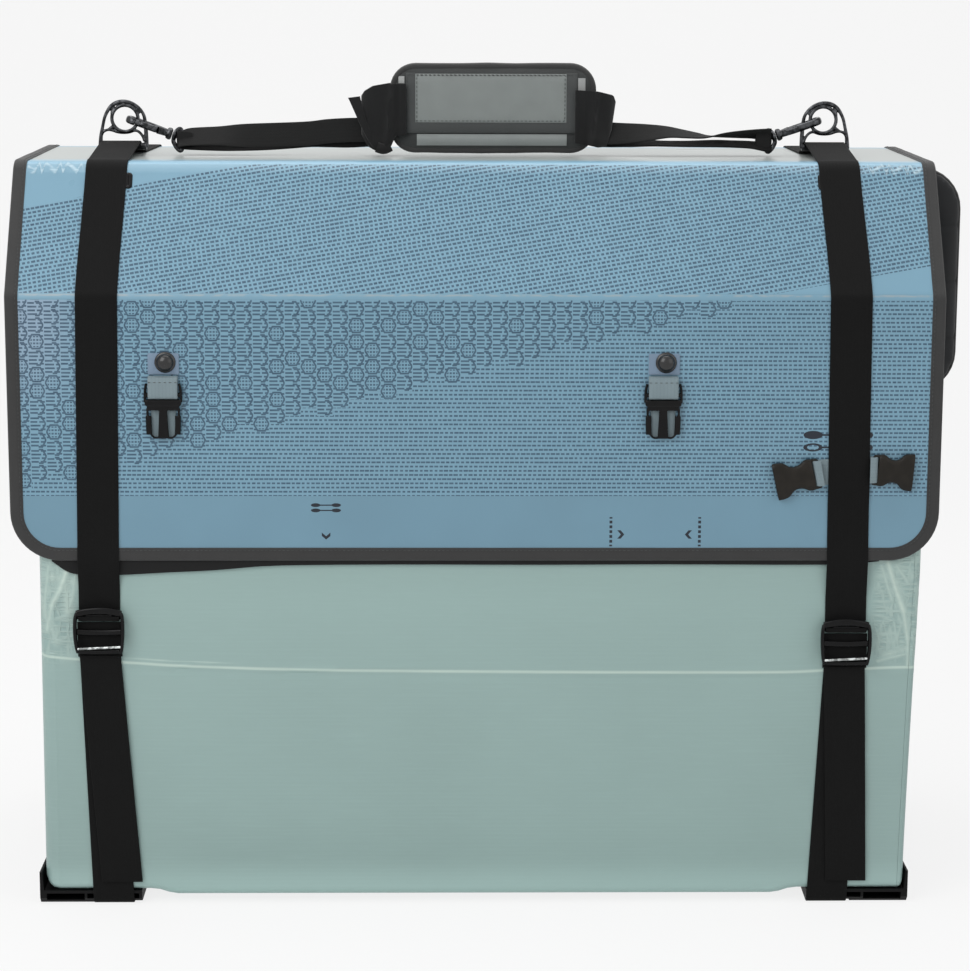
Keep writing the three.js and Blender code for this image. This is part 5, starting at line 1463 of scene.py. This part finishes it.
HOOK_PITCH = math.asin(18.1 / 54.4)
PAD_LEFT, PAD_RIGHT, PAD_BASE, PAD_TOP = -84.0, 121.0, 739.5, 826.4
EYE_BAR, EYE_LEAN = 58.4, math.radians(21.5)
# The webbing between hook and pad: x, z, turn in degrees and y at its stations
SHOULDER_PLIES = {
    ("left", "front"): [(-299, 750.4, 58, -2.6), (-289, 753.4, 48, -2.4), (-256, 754.7, 42, -2),
                        (-226, 755.0, 14, -2.4), (-173, 756.8, 5, -2), (-150, 759.3, 3, -2), (-129, 760.6, 2, -2),
                        (-108, 761, 0, -2)],
    ("left", "back"): [(-300, 752, 40, 2.6), (-289, 747, 62, 1.5), (-256, 745.6, 64, 1), (-226, 748.5, 48, 1),
                       (-173, 755.0, 10, 1.5), (-150, 755.4, 5, 2), (-129, 755, 3, 2), (-108, 756, 0, 2)],
    ("right", "front"): [(300, 756, 128, -2), (285, 757.5, 115, -1), (269, 757.1, 109, 0), (253, 756.3, 102, 0),
                         (238, 755, 91, 0), (228, 755.6, 82, 0), (212, 757.5, 74, 0), (196, 759.3, 66, -1),
                         (175, 758.9, 51, -3), (147, 758, 33, -4), (122, 758.5, 20, -3)],
    ("right", "back"): [(301, 747, 58, 1), (294, 745, 70, 1), (285, 746.0, 75, 0), (277, 746.8, 77, 0),
                        (261, 747.4, 78, 0), (244, 747.8, 78, 0), (212, 747.4, 81, 0), (180, 748, 80, 0),
                        (160, 750, 66, 1), (147, 752.5, 50, 2), (122, 756, 20, 2)],
}



def stuffed(name, left, right, base, top, y, corner, thick, bulge, frames=20, voxel=5.0):
    """A padded panel standing in X and Z: a slimmer form that is remeshed and blown up as cloth."""
    slim = thick * 0.62
    outline = rounded_outline(left, right, base, top, corner)
    mesh = bpy.data.meshes.new(name)
    mesh.from_pydata([(x, y + side * slim / 2, z) for side in (-1, 1) for x, z in outline], [],
                     tube_faces(2, len(outline)))
    faced_out(mesh).transform(Matrix.Scale(MM, 4))
    obj = linked(name, mesh)
    fused(obj, voxel * MM)
    settled(obj)
    rest = [v.co.copy() for v in obj.data.vertices]
    blown = self_inflated(obj, frames)
    rise, drift = ((thick - slim) / 2 + bulge) * MM, 1.5 * MM
    for v, before, after in zip(obj.data.vertices, rest, blown):
        x, z = before.x / MM, before.z / MM
        dome = math.sin(QUARTER * ramp(min(x - left, right - x, z - base, top - z), 0.0, corner * 1.25))
        move = after - before
        sign = 1.0 if before.y > y * MM else -1.0
        v.co = before + Vector((held(move.x, drift) * 0.5, held(move.y * 0.5 + sign * dome * rise * 0.8, rise),
                                held(move.z, drift) * 0.5))
    fine = obj.modifiers.new("fine", "SUBSURF")
    fine.levels = fine.render_levels = 1
    return settled(obj)


def held(value, limit):
    return max(-limit, min(limit, value))


def self_inflated(obj, frames):
    """Blows a closed mesh up as cloth and gives the places of its points."""
    cloth = obj.modifiers.new("cloth", "CLOTH")
    cloth.settings.use_pressure = True
    cloth.settings.uniform_pressure_force = 4.0
    cloth.settings.effector_weights.gravity = 0.0
    cloth.settings.quality = 4
    cloth.settings.mass = 0.2
    cloth.point_cache.frame_start = 1
    cloth.point_cache.frame_end = frames
    scene = bpy.context.scene
    for number in range(1, frames + 1):
        scene.frame_set(number)
    graph = bpy.context.evaluated_depsgraph_get()
    result = obj.evaluated_get(graph)
    places = [v.co.copy() for v in result.data.vertices]
    obj.modifiers.remove(cloth)
    scene.frame_set(1)
    return places


def channel(obj, y, depth, wide, height):
    """Presses a level sewn line into both faces of a stuffed piece."""
    for v in obj.data.vertices:
        sign = 1.0 if v.co.y > y * MM else -1.0
        v.co.y -= sign * depth * bell(v.co.z / MM - height, wide) * MM


def laid_on(tree, x, z):
    """The Y in millimetres of the pad's front face at x and z."""
    hit = tree.ray_cast(at(x, -400.0, z), Vector((0, 1, 0)))[0]
    return RING_Y if hit is None else hit.y / MM


def patch(name, tree, spot, lift, thick, finish_name, slot="pad_fabric", puff=0.0):
    """A panel of cloth sewn flat on the front of the pad."""
    left, right, base, top = spot
    columns, rows = max(4, round((right - left) / 3.0)), max(3, round((top - base) / 3.0))
    points = []
    for depth in (0.0, thick):
        for r in range(rows + 1):
            for c in range(columns + 1):
                x, z = left + (right - left) * c / columns, base + (top - base) * r / rows
                edge = min(x - left, right - x, z - base, top - z)
                rise = lift + puff * (1 - math.exp(-edge / 4.0))
                points.append(at(x, laid_on(tree, x, z) - rise + depth, z))
    mesh = mesh_from(name, points, sheet_faces(rows, columns), degrees=50.0)
    return shown(mesh, finish_name, slot, "carry_handle")


def height_on(points, x):
    """The height of a line of (x, z) points at x, level beyond its ends."""
    points = sorted(points)
    x = max(points[0][0], min(points[-1][0], x))
    for (x0, z0), (x1, z1) in zip(points, points[1:]):
        if x <= x1:
            return z0 + (z1 - z0) * (x - x0) / (x1 - x0)


class KAYAK_OT_shoulder_pad(bpy.types.Operator):
    """Stuffs the shoulder pad and sews its bound edge, panels and bands"""
    bl_idname = "kayak.shoulder_pad"
    bl_label = "Shoulder pad"

    def execute(self, context):
        pad = stuffed("pad_body", PAD_LEFT + SHIFT / MM, PAD_RIGHT + SHIFT / MM, PAD_BASE, PAD_TOP, RING_Y,
                      24.0, 17.0, 1.0, voxel=4.0)
        channel(pad, RING_Y, 1.6, 2.2, 758.0)
        painted(pad, "pad_dark")
        dress(pad, "carry_handle", ["shoulder_pad"])
        tree = BVHTree.FromObject(pad, bpy.context.evaluated_depsgraph_get())
        patch("pad_panel", tree, (-60.1, 92.4, 769.0, 817.6), 1.0, 1.4, "pad", puff=0.5)
        patch("pad_strip", tree, (-58.5, 93.0, 745.8, 757.2), 0.8, 1.2, "pad_gloss", puff=0.5)
        for word, *spot in (("left", -69.5, -60.1, 758.4, 818.5), ("right", 92.4, 103.5, 758.4, 818.5)):
            patch(f"pad_frame_{word}", tree, spot, 1.3, 1.8, "pad_frame", "webbing")
        patch("pad_frame_low", tree, (-69.5, 103.5, 758.4, 768.6), 1.5, 2.0, "pad_frame", "webbing")
        # Small patches at the pad's upper corners, coloured pale as painted highlights of their shine
        for word, *spot in (("left", -77.0, -71.0, 808.0, 815.0), ("right", 104.0, 111.5, 801.0, 813.5)):
            patch(f"pad_mesh_{word}", tree, spot, 0.6, 1.0, "mesh")
        self.edge()
        for word, inset, rise, x0, x1, z0, z1 in (("panel", 1.6, 1.7, -60.1, 92.4, 769.0, 817.6),
                                                  ("frame", 1.4, 1.6, -69.5, 103.5, 758.4, 818.0)):
            x0, x1, z0, z1 = x0 + inset, x1 - inset, z0 + inset, z1 - inset
            line = divided([(x0, z0), (x1, z0), (x1, z1), (x0, z1)], 4.0)
            places = [at(x, laid_on(tree, x, z) - rise, z) for x, z in line]
            sewn(f"pad_{word}_stitches", places + places[:1], "carry_handle")
        self.bands()
        self.straps()
        return {"FINISHED"}

    def edge(self):
        """The bound edge that is sewn all round the pad."""
        outline = rounded_outline(PAD_LEFT + 1.6, PAD_RIGHT - 1.6, PAD_BASE + 1.6, PAD_TOP - 1.6, 23.0, 10)
        path = [(x, RING_Y + wander(x / 25, z / 25, 0.0, 0.5), z + wander(x / 30, 7.0, z / 30, 0.8))
                for x, z in divided(outline, 6.0)]
        shell = swept_bar(path, 3.4, 5.6, closed=True, count=18, power=2.6)
        bar_piece("pad_binding", shell, "binding_cad", "pad_fabric", "carry_handle")

    def bands(self):
        """The wide bands that grip the pad's ends, with their folds."""
        self.band("left", [(-113, 795), (-110, 799.7), (-102.3, 804.5), (-86, 807.4), (-69.3, 807.6)],
                  [(-113, 757), (-107, 745.2), (-96.5, 739.2), (-84, 745.5), (-80, 755.5), (-69.3, 757)], -1)
        self.band("right", [(141, 789), (138.5, 796), (126, 799), (114, 801), (101, 802)],
                  [(141, 762), (135, 745), (126, 744.4), (114, 747), (101, 749)], 1)
        flap = smooth_path([(-126.6, 794.2, 3), (-123.0, 784.0, 2), (-117.0, 768.0, 1), (-110.0, 752.0, 0),
                            (-105.0, 743.0, 0)], 5)
        across, off = Vector((0.93, 0.35, 0.1)).normalized(), Vector((0.35, -0.93, 0)).normalized()
        stations = [(Vector((x + 4.6, RING_Y - 11.5 + y * 0.8, z)), across * (1.0 - 0.72 * i / (len(flap) - 1)), off)
                    for i, (x, z, y) in enumerate(flap)]
        strap("pad_band_flap", stations, strap_section(13.0, 1.7), "carry_handle", finish_name="band")
        knot = smooth_path([(-99, RING_Y - 13.0, 744.5), (-92, RING_Y - 14.0, 742.6), (-85, RING_Y - 12.5, 745.4)], 4)
        bar_piece("pad_band_knot", swept_bar(knot, 5.4, 3.4, count=16, power=2.2), "band", "webbing", "carry_handle")

    def band(self, word, tops, lows, side):
        """A band round one end of the pad, from its top and low lines of (x, z)."""
        columns, rows, thick = 26, 18, 1.8
        inner, outer = tops[-1][0], tops[0][0]
        crossing = -86.0 if side < 0 else 120.5
        points = []
        for n in (0.0, thick):
            for t in (i / columns - 1.0 for i in range(2 * columns + 1)):
                share = 1.0 - abs(t) ** 1.6
                x = inner + (outer - inner) * share
                top, low = height_on(tops, x), height_on(lows, x)
                swell = math.sin(math.pi * share)
                depth = 13.4 * math.sqrt(max(0.0, 1.0 - share ** 3.4)) + n
                for v in (r / rows for r in range(rows + 1)):
                    fold = (0.9 * math.sin(v * 5.0 + x * 0.16) * swell
                            + 2.6 * bell(x - crossing - (v - 0.5) * 5.0, 2.2)
                            - 1.8 * bell(x - crossing + side * 8.0, 3.4)
                            + 1.2 * bell(v - 0.12, 0.07) * swell + 1.4 * bell(share - 0.07, 0.03))
                    lean = max(side, 0) * 4.0 * (1 - v) * share
                    points.append(at(x + side * n * share - lean, RING_Y + (depth if t >= 0 else -depth - fold),
                                     low + (top - low) * v))
        mesh = mesh_from(f"pad_band_{word}", points, sheet_faces(2 * columns, rows), degrees=60.0)
        shown(mesh, "band", "webbing", "carry_handle")

    def straps(self):
        """The webbing from each hook's eye to the pad, in two plies; the right one is twisted."""
        thick = sizes().webbing / MM
        for (word, ply), table in SHOULDER_PLIES.items():
            spots = smooth_path([(x, RING_Y + y, z) for x, z, turn, y in table], 9)
            turns = smooth_path([(math.radians(turn), 0, 0) for x, z, turn, y in table], 9)
            stations = [(spot, Vector((0, math.sin(turn.x), math.cos(turn.x))),
                         Vector((0, -math.cos(turn.x), math.sin(turn.x)))) for spot, turn in zip(spots, turns)]
            # Painted shade: the back ply, the strap's underside, takes the darker strap webbing while the front ply
            # takes the shoulder webbing
            front = ply == "front"
            strap(f"shoulder_webbing_{word}_{ply}", stations, strap_section(24.6, thick, centred=True),
                  "carry_handle", [f"shoulder_strap_{word}"] if front else (),
                  finish_name="shoulder" if front else "webbing")
        for side, word in SIDES:
            self.eye_loop(side, word, thick)

    def eye_loop(self, side, word, thick):
        """The turn of webbing round the bar of the eye, pinched towards its ends."""
        place = hook_place(side) @ Matrix.Translation((EYE_BAR, 0, -1.8)) @ turn_about("Y", -EYE_LEAN)
        radius = 3.0
        loop = [(Vector((x, y, 0)), Vector((0, 0, 1)), Vector((x, y, 0)) / radius)
                for x, y in arc(0, 0, radius, QUARTER, 3 * QUARTER, 14)]
        begin, end = ([(Vector((p.x + reach, p.y * (1.0 - 0.1 * k), 0)), a * shrink, o)
                       for k, (reach, shrink) in enumerate(((4, 0.98), (8, 0.9), (12, 0.78)))]
                      for p, a, o in (loop[0], loop[-1]))
        spin = place.to_3x3()
        stations = [(place @ p, spin @ a, spin @ o) for p, a, o in begin[::-1] + loop + end]
        strap(f"eye_webbing_{word}", stations, strap_section(17.6, thick), "carry_handle", finish_name="shoulder")


# Side-release buckles

RIVET_Z = 547.0
PLUG_X = {"left": -302.0, "right": 181.0}
# x and z of each socket's bar, its tilt in degrees and how much longer it is than drawn
SOCKETS = {"inner": (332.8, 440.6, 12.6, 1.09), "outer": (387.0, 443.9, 4.5, 0.98)}


def plate_mesh(outline, thick, bevel, steps=3):
    """A flat plate with round edges, standing in X and Z and centred on Y, in millimetres."""
    curve = bpy.data.curves.new("plate", "CURVE")
    curve.dimensions = "2D"
    curve.fill_mode = "BOTH"
    spline = curve.splines.new("POLY")
    spline.points.add(len(outline) - 1)
    for point, (a, b) in zip(spline.points, outline):
        point.co = (a, b, 0, 1)
    spline.use_cyclic_u = True
    curve.extrude = thick / 2 - bevel
    curve.bevel_depth = bevel
    curve.bevel_resolution = steps
    curve.offset = -bevel
    holder = linked("plate", curve)
    bpy.context.view_layer.update()
    mesh = bpy.data.meshes.new_from_object(holder.evaluated_get(bpy.context.evaluated_depsgraph_get()))
    bpy.data.objects.remove(holder)
    bpy.data.curves.remove(curve)
    mesh.transform(turn_about("X", QUARTER))
    return faced_out(mesh, 0.001)


def plate_shell(outline, thick, bevel, y):
    mesh = plate_mesh(outline, thick, bevel)
    shell = ([v.co + Vector((0, y, 0)) for v in mesh.vertices], [tuple(p.vertices) for p in mesh.polygons])
    bpy.data.meshes.remove(mesh)
    return shell


def plug_shells():
    """The plug half, hanging below its bar: a base, two prongs with barbs and a middle guide."""
    y = -4.4
    shells = [plate_shell(rounded_outline(-17.6, 17.6, -40.8, -34.4, 2.0, 4), 6.6, 1.5, y),
              plate_shell(rounded_outline(-15.6, 15.6, -45.0, -39.0, 1.4, 3), 5.0, 1.2, y),
              swept_bar([(-17.0, y, -30), (17.0, y, -30)], 2.1, 2.1)]
    for side in (-1, 1):
        for path, wide, thick in (
                ([(15.8, y - 0.6, -18.8), (17.2, y, -26.0), (17.5, y, -37.0)], 1.3, 2.2),
                ([(15.2, y, -43.0), (15.0, y, -50.5), (14.2, y, -54.0)], 1.2, 1.8),
                ([(14.2, y, -50.4), (14.1, y, -59.0), (13.7, y, -68.4)], 2.9, 2.3),
                ([(12.6, y, -68.0), (9.0, y, -71.6), (4.5, y, -71.6)], 1.0, 1.4)):
            shells.append(swept_bar(smooth_path([(side * px, py, pz) for px, py, pz in path]), wide, thick))
    guide = [(-3.6, -40.0), (-4.4, -56.0), (-5.2, -72.4), (5.2, -72.4), (4.4, -56.0), (3.6, -40.0)]
    return shells + [plate_shell(guide, 4.2, 0.9, y)]


def socket_shell():
    """The socket half along X from its bar to its mouth: a waisted shell with an open mouth."""
    stations = [(4.0, 14.4, 3.1), (4.8, 15.4, 3.8), (8.0, 15.8, 4.0), (11.0, 15.0, 4.0), (14.0, 12.8, 4.0),
                (17.0, 11.4, 4.0), (21.0, 11.1, 4.0), (24.5, 12.4, 4.05), (27.0, 15.0, 4.1), (29.0, 16.9, 4.1),
                (31.5, 17.9, 4.15), (35.0, 18.3, 4.15), (38.4, 18.4, 4.1), (39.2, 17.9, 3.7)]
    stations += [(39.1, 16.4, 2.4), (37.4, 15.8, 2.3), (33.0, 13.6, 2.3), (28.0, 8.5, 2.2), (20.0, 6.0, 2.0)]
    count, points = 40, []
    for x, half, thick in stations:
        for c, s in ((math.cos(math.tau * k / count), math.sin(math.tau * k / count)) for k in range(count)):
            points.append(Vector((x, math.copysign(abs(s) ** 0.8, s) * thick,
                                  math.copysign(abs(c) ** 0.5, c) * half)))
    return points, tube_faces(len(stations), count)


def socket_bar_shells():
    return [swept_bar([(0, 0, -13.6), (0, 0, 13.6)], 2.0, 2.0, (1, 0, 0))] + [
        swept_bar([(-0.6, 0, side * 13.4), (3.0, 0, side * 13.8), (7.0, 0, side * 13.6)], 1.5, 2.4)
        for side in (-1, 1)]


class KAYAK_OT_buckles(bpy.types.Operator):
    """Moulds the plug and socket buckles and sews their webbing tabs"""
    bl_idname = "kayak.buckles"
    bl_label = "Buckles"

    def execute(self, context):
        thick = sizes().webbing / MM
        for word, x in PLUG_X.items():
            place = IN_METRES @ Matrix.Translation((x, -LID_FACE, RIVET_Z))
            moulded(f"plug_{word}", plug_shells(), place, 0.42, 2, "gloss", f"plug_{word}",
                    [f"plug_buckle_{word}"])
            self.tab(word, x, thick)
            self.rivet(word, x)
        y = -LID_FACE - 4.4
        for word, (x, z, tilt, stretch) in SOCKETS.items():
            place = (IN_METRES @ Matrix.Translation((x, y, z)) @ turn_about("Z", math.pi if word == "inner" else 0.0)
                     @ turn_about("Y", math.radians(tilt)) @ Matrix.Scale(stretch, 4, (1, 0, 0)))
            mesh = mesh_from(f"socket_{word}", *socket_shell(), degrees=40.0)
            mesh.transform(place)
            shown(mesh, "socket", "buckle_plastic", f"socket_{word}", [f"socket_buckle_{word}"])
            moulded(f"socket_bar_{word}", socket_bar_shells(), place, 0.4, 2, "socket",
                    f"socket_{word}")
        self.strip(y, thick)
        return {"FINISHED"}

    def tab(self, word, x, thick):
        """The tab's turn round the buckle's bar, its flat end under the rivet and its tail."""
        body, section = f"plug_{word}", strap_section(28.6, thick, centred=True)
        path = [(-1.0, -12.0), (-1.0, -28.0)] + arc(-4.4, -30.0, 3.4, 0, -math.pi, 8)
        path += [(-8.1, -24.0), (-7.9, -17.0), (-6.4, -13.6), (-3.6, -12.6)]
        points = [(x, -LID_FACE + y, RIVET_Z + z) for y, z in path]
        strap(f"tab_{word}", along_path(points, 2.5), section, body, [f"buckle_tab_{word}"], 0.0, "tab", "tab_webbing")
        tail = [(x, -LID_FACE - 1.2, RIVET_Z + z) for z in (-37.0, -71.0)]
        strap(f"tab_tail_{word}", along_path(tail, 4.0), [(a * 0.84, n) for a, n in section], body, (), 0.0,
              "tab", "tab_webbing")
        row = [at(x + side * 12.6, -LID_FACE - 8.7, RIVET_Z - 17.4) for side in (-1, 1)]
        sewn(f"tab_stitches_{word}", row, body)

    def rivet(self, word, x):
        front = -LID_FACE - 0.4
        flat = plate_mesh(rounded_outline(-15.0, 15.0, -10.6, 10.0, 1.2, 3), 1.8, 0.5, 2)
        flat.name = f"washer_{word}"
        flat.transform(IN_METRES @ Matrix.Translation((x + 0.6, front - 0.6, RIVET_Z)))
        dome = [(0.0, 9.9), (0.7, 10.2), (1.4, 9.8), (1.7, 8.8), (2.0, 8.2), (3.6, 7.8), (5.2, 6.6), (6.6, 4.4),
                (7.2, 2.2), (7.3, 0.6)]
        points, faces = turned(dome, (0, -1, 0), (1, 0, 0), (x + 2.4, front - 1.4, RIVET_Z + 1.4), 40)
        cap = mesh_from(f"rivet_{word}", [at(*p) for p in points], faces, degrees=50.0)
        shown(cap, "rivet", "buckle_plastic", "front_panel", [f"lid_rivet_{word}"])
        shown(mark_sharp(flat, 40.0), "washer", "buckle_plastic", "front_panel")

    def strip(self, y, thick):
        """The webbing that holds both sockets, under the right body strap."""
        (x0, z0), (x1, z1) = SOCKETS["inner"][:2], SOCKETS["outer"][:2]
        path = [(x0 + 4.0, -3.2)] + arc(x0, 0, 3.2, -QUARTER, -3 * QUARTER, 8)
        path += [(x0 + 10.0, 3.2), ((x0 + x1) / 2, 3.2), (x1 - 10.0, 3.2)]
        path += arc(x1, 0, 3.2, QUARTER, -QUARTER, 8) + [(x1 - 4.0, -3.2)]
        stations = []
        for (px, py), before, after in zip(path, path[:1] + path, path[1:] + path[-1:]):
            way = (Vector(after) - Vector(before)).normalized()
            share = (px - x0) / (x1 - x0)
            lean = math.radians(11.0) * (1 - eased(share * 1.4))
            stations.append((Vector((px, y + py, z0 + (z1 - z0) * share)),
                             Vector((-math.sin(lean), 0, math.cos(lean))), Vector((way.y, -way.x, 0))))
        strap("socket_webbing", stations, strap_section(25.5, thick, centred=True), "front_panel", ["socket_strip"],
              0.0, "tab", "tab_webbing")


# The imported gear

class KAYAK_OT_gear(bpy.types.Operator):
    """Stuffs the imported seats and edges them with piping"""
    bl_idname = "kayak.gear"
    bl_label = "Packed gear"

    def execute(self, context):
        seats = [("backrest_rear", "rear_backrest", 42.0, 24.0), ("backrest_front", "front_backrest", 42.0, 24.0),
                 ("seat_pan_rear", "rear_seat_pan", 30.0, 30.0), ("seat_pan_front", "front_seat_pan", 30.0, 30.0)]
        for node, body, corner, thick in seats:
            low, high = (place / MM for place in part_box(node))
            y = (low.y + high.y) / 2
            cushion = stuffed(f"cushion_{node}", low.x, high.x, low.z, high.z, y, corner, thick, 1.5, 12, 6.0)
            for share in (0.25, 0.5, 0.75):
                channel(cushion, y, 2.2, 3.2, low.z + (high.z - low.z) * share)
            painted(cushion, "seat")
            dress(cushion, body, [node])
            outline = rounded_outline(low.x + 1.5, high.x - 1.5, low.z + 1.5, high.z - 1.5, corner - 1.5)
            points, faces = swept_bar([(x, y, z) for x, z in divided(outline, 9.0)], 2.2, 4.6, closed=True,
                                      count=12, power=2.2)
            piping = mesh_from(f"piping_{node}", [p * MM for p in points], faces, degrees=60.0)
            shown(piping, "binding_cad", "seat_fabric", body)
        return {"FINISHED"}


# Frame nodes that keep their own shape

CAD_FINISHES = {
    "deck_flap": "hull", "skid": "skid", "ladder_lock": "plastic", "lock_webbing": "webbing_cad",
    "carry_ring": "metal", "snap_hook": "metal", "hook_gate": "metal", "swivel_eye": "metal",
    "shoulder_strap": "webbing_cad", "shoulder_pad": "pad", "buckle_tab": "tab_cad", "plug_buckle": "plastic",
    "lid_rivet": "plastic", "socket_strip": "tab_cad", "socket_buckle": "plastic", "backrest": "seat",
    "seat_pan": "seat", "crossbar": "tube",
}


class KAYAK_OT_fittings(bpy.types.Operator):
    """Gives the frame's own nodes their finishes"""
    bl_idname = "kayak.fittings"
    bl_label = "Frame finishes"

    def execute(self, context):
        for name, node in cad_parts.items():
            for start, finish_name in CAD_FINISHES.items():
                if name.startswith(start):
                    node.data.materials.clear()
                    node.data.materials.append(FINISHES[finish_name])
        return {"FINISHED"}


# The stage

CAMERA_AT = (-33.23, -2840.35, 922.37)
CAMERA_YAW, CAMERA_PITCH, CAMERA_ROLL = 0.01596, 0.18569, 0.00323
FOCAL_SHARE = 2755.08 / 970
SENSOR = 36.0


class KAYAK_OT_stage(bpy.types.Operator):
    """Sets up the floor, the lamps, the world and the camera"""
    bl_idname = "kayak.stage"
    bl_label = "Stage"

    def execute(self, context):
        scene = context.scene
        scene.view_settings.view_transform = "Standard"
        self.camera(scene)
        self.floor()
        self.world(scene)
        self.lamp("key_light", (-1500, -2000, 2000), (0, -100, 300), 1.9, 32.0)
        self.lamp("fill_light", (1900, -1700, 1300), (0, 0, 350), 1.8, 6.0)
        self.lamp("top_light", (0, 300, 2600), (0, 0, 400), 2.2, 30.0)
        return {"FINISHED"}

    def camera(self, scene):
        data = bpy.data.cameras.new("camera")
        data.sensor_fit = "HORIZONTAL"
        data.sensor_width = SENSOR
        data.lens = FOCAL_SHARE * SENSOR
        data.clip_end = 50.0
        camera = linked("camera", data)
        yaw, pitch, roll = CAMERA_YAW, CAMERA_PITCH, CAMERA_ROLL
        ahead = Vector((math.sin(yaw) * math.cos(pitch), math.cos(yaw) * math.cos(pitch), -math.sin(pitch)))
        right = Vector((math.cos(yaw), -math.sin(yaw), 0.0))
        up = right.cross(ahead)
        across = right * math.cos(roll) + up * math.sin(roll)
        upward = up * math.cos(roll) - right * math.sin(roll)
        turn = Matrix((across, upward, -ahead)).transposed().to_4x4()
        camera.matrix_world = Matrix.Translation(at(*CAMERA_AT)) @ turn
        scene.camera = camera

    def floor(self):
        mesh = bpy.data.meshes.new("floor")
        reach, back, rise, bend = 6.0, 3.2, 5.0, 1.2
        line = [(-reach, 0.0), (back - bend, 0.0)] + arc(back - bend, bend, bend, -QUARTER, 0, 12)[1:]
        line.append((back, rise))
        points = [Vector((x, y, z)) for y, z in line for x in (-reach, reach)]
        faces = [(2 * i, 2 * i + 1, 2 * i + 3, 2 * i + 2) for i in range(len(line) - 1)]
        mesh.from_pydata(points, [], faces)
        f = Finish("floor_paper", rough=0.9)
        f.set({"Specular IOR Level": 0.0})
        f.colour((*paint("f0f0f0"), 1.0))
        self.lift(f)
        mesh.materials.append(f.material)
        mesh.shade_smooth()
        linked("floor", mesh)

    def lift(self, f):
        """Lets the paper show as a near white background, with the object's shadow left in it."""
        rays = f.node("ShaderNodeLightPath")
        kinds = [Wire(f, rays.outputs[k]) for k in ("Is Camera Ray", "Is Glossy Ray", "Is Transmission Ray")]
        glow = f.node("ShaderNodeEmission")
        glow.inputs["Color"].default_value = (1.0, 1.0, 1.0, 1.0)
        mixer = f.node("ShaderNodeMixShader")
        f.feed(mixer.inputs[0], kinds[0].most(kinds[1]).most(kinds[2]) * 0.82)
        f.tree.links.new(f.shader.outputs[0], mixer.inputs[1])
        f.tree.links.new(glow.outputs[0], mixer.inputs[2])
        f.tree.links.new(mixer.outputs[0], f.tree.nodes["Material Output"].inputs["Surface"])

    def world(self, scene):
        world = bpy.data.worlds.new("studio")
        world.use_nodes = True
        scene.world = world
        nodes, links = world.node_tree.nodes, world.node_tree.links
        nodes.clear()
        out, mixer, rays, seen, more, ambient, background = (nodes.new("ShaderNode" + kind) for kind in (
            "OutputWorld", "MixShader", "LightPath", "Math", "Math", "Background", "Background"))
        seen.operation = more.operation = "MAXIMUM"
        ambient.inputs["Color"].default_value = (1, 1, 1, 1)
        ambient.inputs["Strength"].default_value = 0.4
        background.inputs["Color"].default_value = (*paint("f7f7f7"), 1)
        for source, target in (
                (rays.outputs["Is Camera Ray"], seen.inputs[0]), (rays.outputs["Is Glossy Ray"], seen.inputs[1]),
                (seen.outputs[0], more.inputs[0]), (rays.outputs["Is Transmission Ray"], more.inputs[1]),
                (more.outputs[0], mixer.inputs[0]), (ambient.outputs[0], mixer.inputs[1]),
                (background.outputs[0], mixer.inputs[2]), (mixer.outputs[0], out.inputs["Surface"])):
            links.new(source, target)

    def lamp(self, name, place, aim, size, power):
        data = bpy.data.lights.new(name, "AREA")
        data.shape = "SQUARE"
        data.size = size
        data.energy = power
        lamp = linked(name, data)
        lamp.location = at(*place)
        lamp.rotation_euler = (at(*aim) - at(*place)).to_track_quat("-Z", "Y").to_euler()


OPERATORS = [KAYAK_OT_stage, KAYAK_OT_hull, KAYAK_OT_lid, KAYAK_OT_binding, KAYAK_OT_straps, KAYAK_OT_hardware,
             KAYAK_OT_shoulder_pad, KAYAK_OT_buckles, KAYAK_OT_gear, KAYAK_OT_fittings]


class KAYAK_PT_panel(bpy.types.Panel):
    """Lists the pieces of the kayak box"""
    bl_idname = "KAYAK_PT_panel"
    bl_label = "Kayak box"
    bl_space_type = "VIEW_3D"
    bl_region_type = "UI"
    bl_category = "Kayak box"

    def draw(self, context):
        layout = self.layout
        for operator in OPERATORS:
            layout.operator(operator.bl_idname)
        for group in (context.scene.kayak_sizes, context.scene.kayak_colours):
            box = layout.box()
            for key in group.__annotations__:
                box.prop(group, key)


CLASSES = [KayakSizes, KayakColours, *OPERATORS, KAYAK_PT_panel]


def register():
    for item in CLASSES:
        bpy.utils.register_class(item)
    bpy.types.Scene.kayak_sizes = PointerProperty(type=KayakSizes)
    bpy.types.Scene.kayak_colours = PointerProperty(type=KayakColours)


def unregister():
    del bpy.types.Scene.kayak_colours
    del bpy.types.Scene.kayak_sizes
    for item in reversed(CLASSES):
        bpy.utils.unregister_class(item)


def main():
    register()
    make_finishes()
    bpy.ops.kayak.stage()
    bpy.ops.kayak.hull()
    bpy.ops.kayak.lid()
    bpy.ops.kayak.binding()
    bpy.ops.kayak.straps()
    bpy.ops.kayak.hardware()
    bpy.ops.kayak.shoulder_pad()
    bpy.ops.kayak.buckles()
    bpy.ops.kayak.gear()
    bpy.ops.kayak.fittings()


if __name__ == "__main__":
    main()
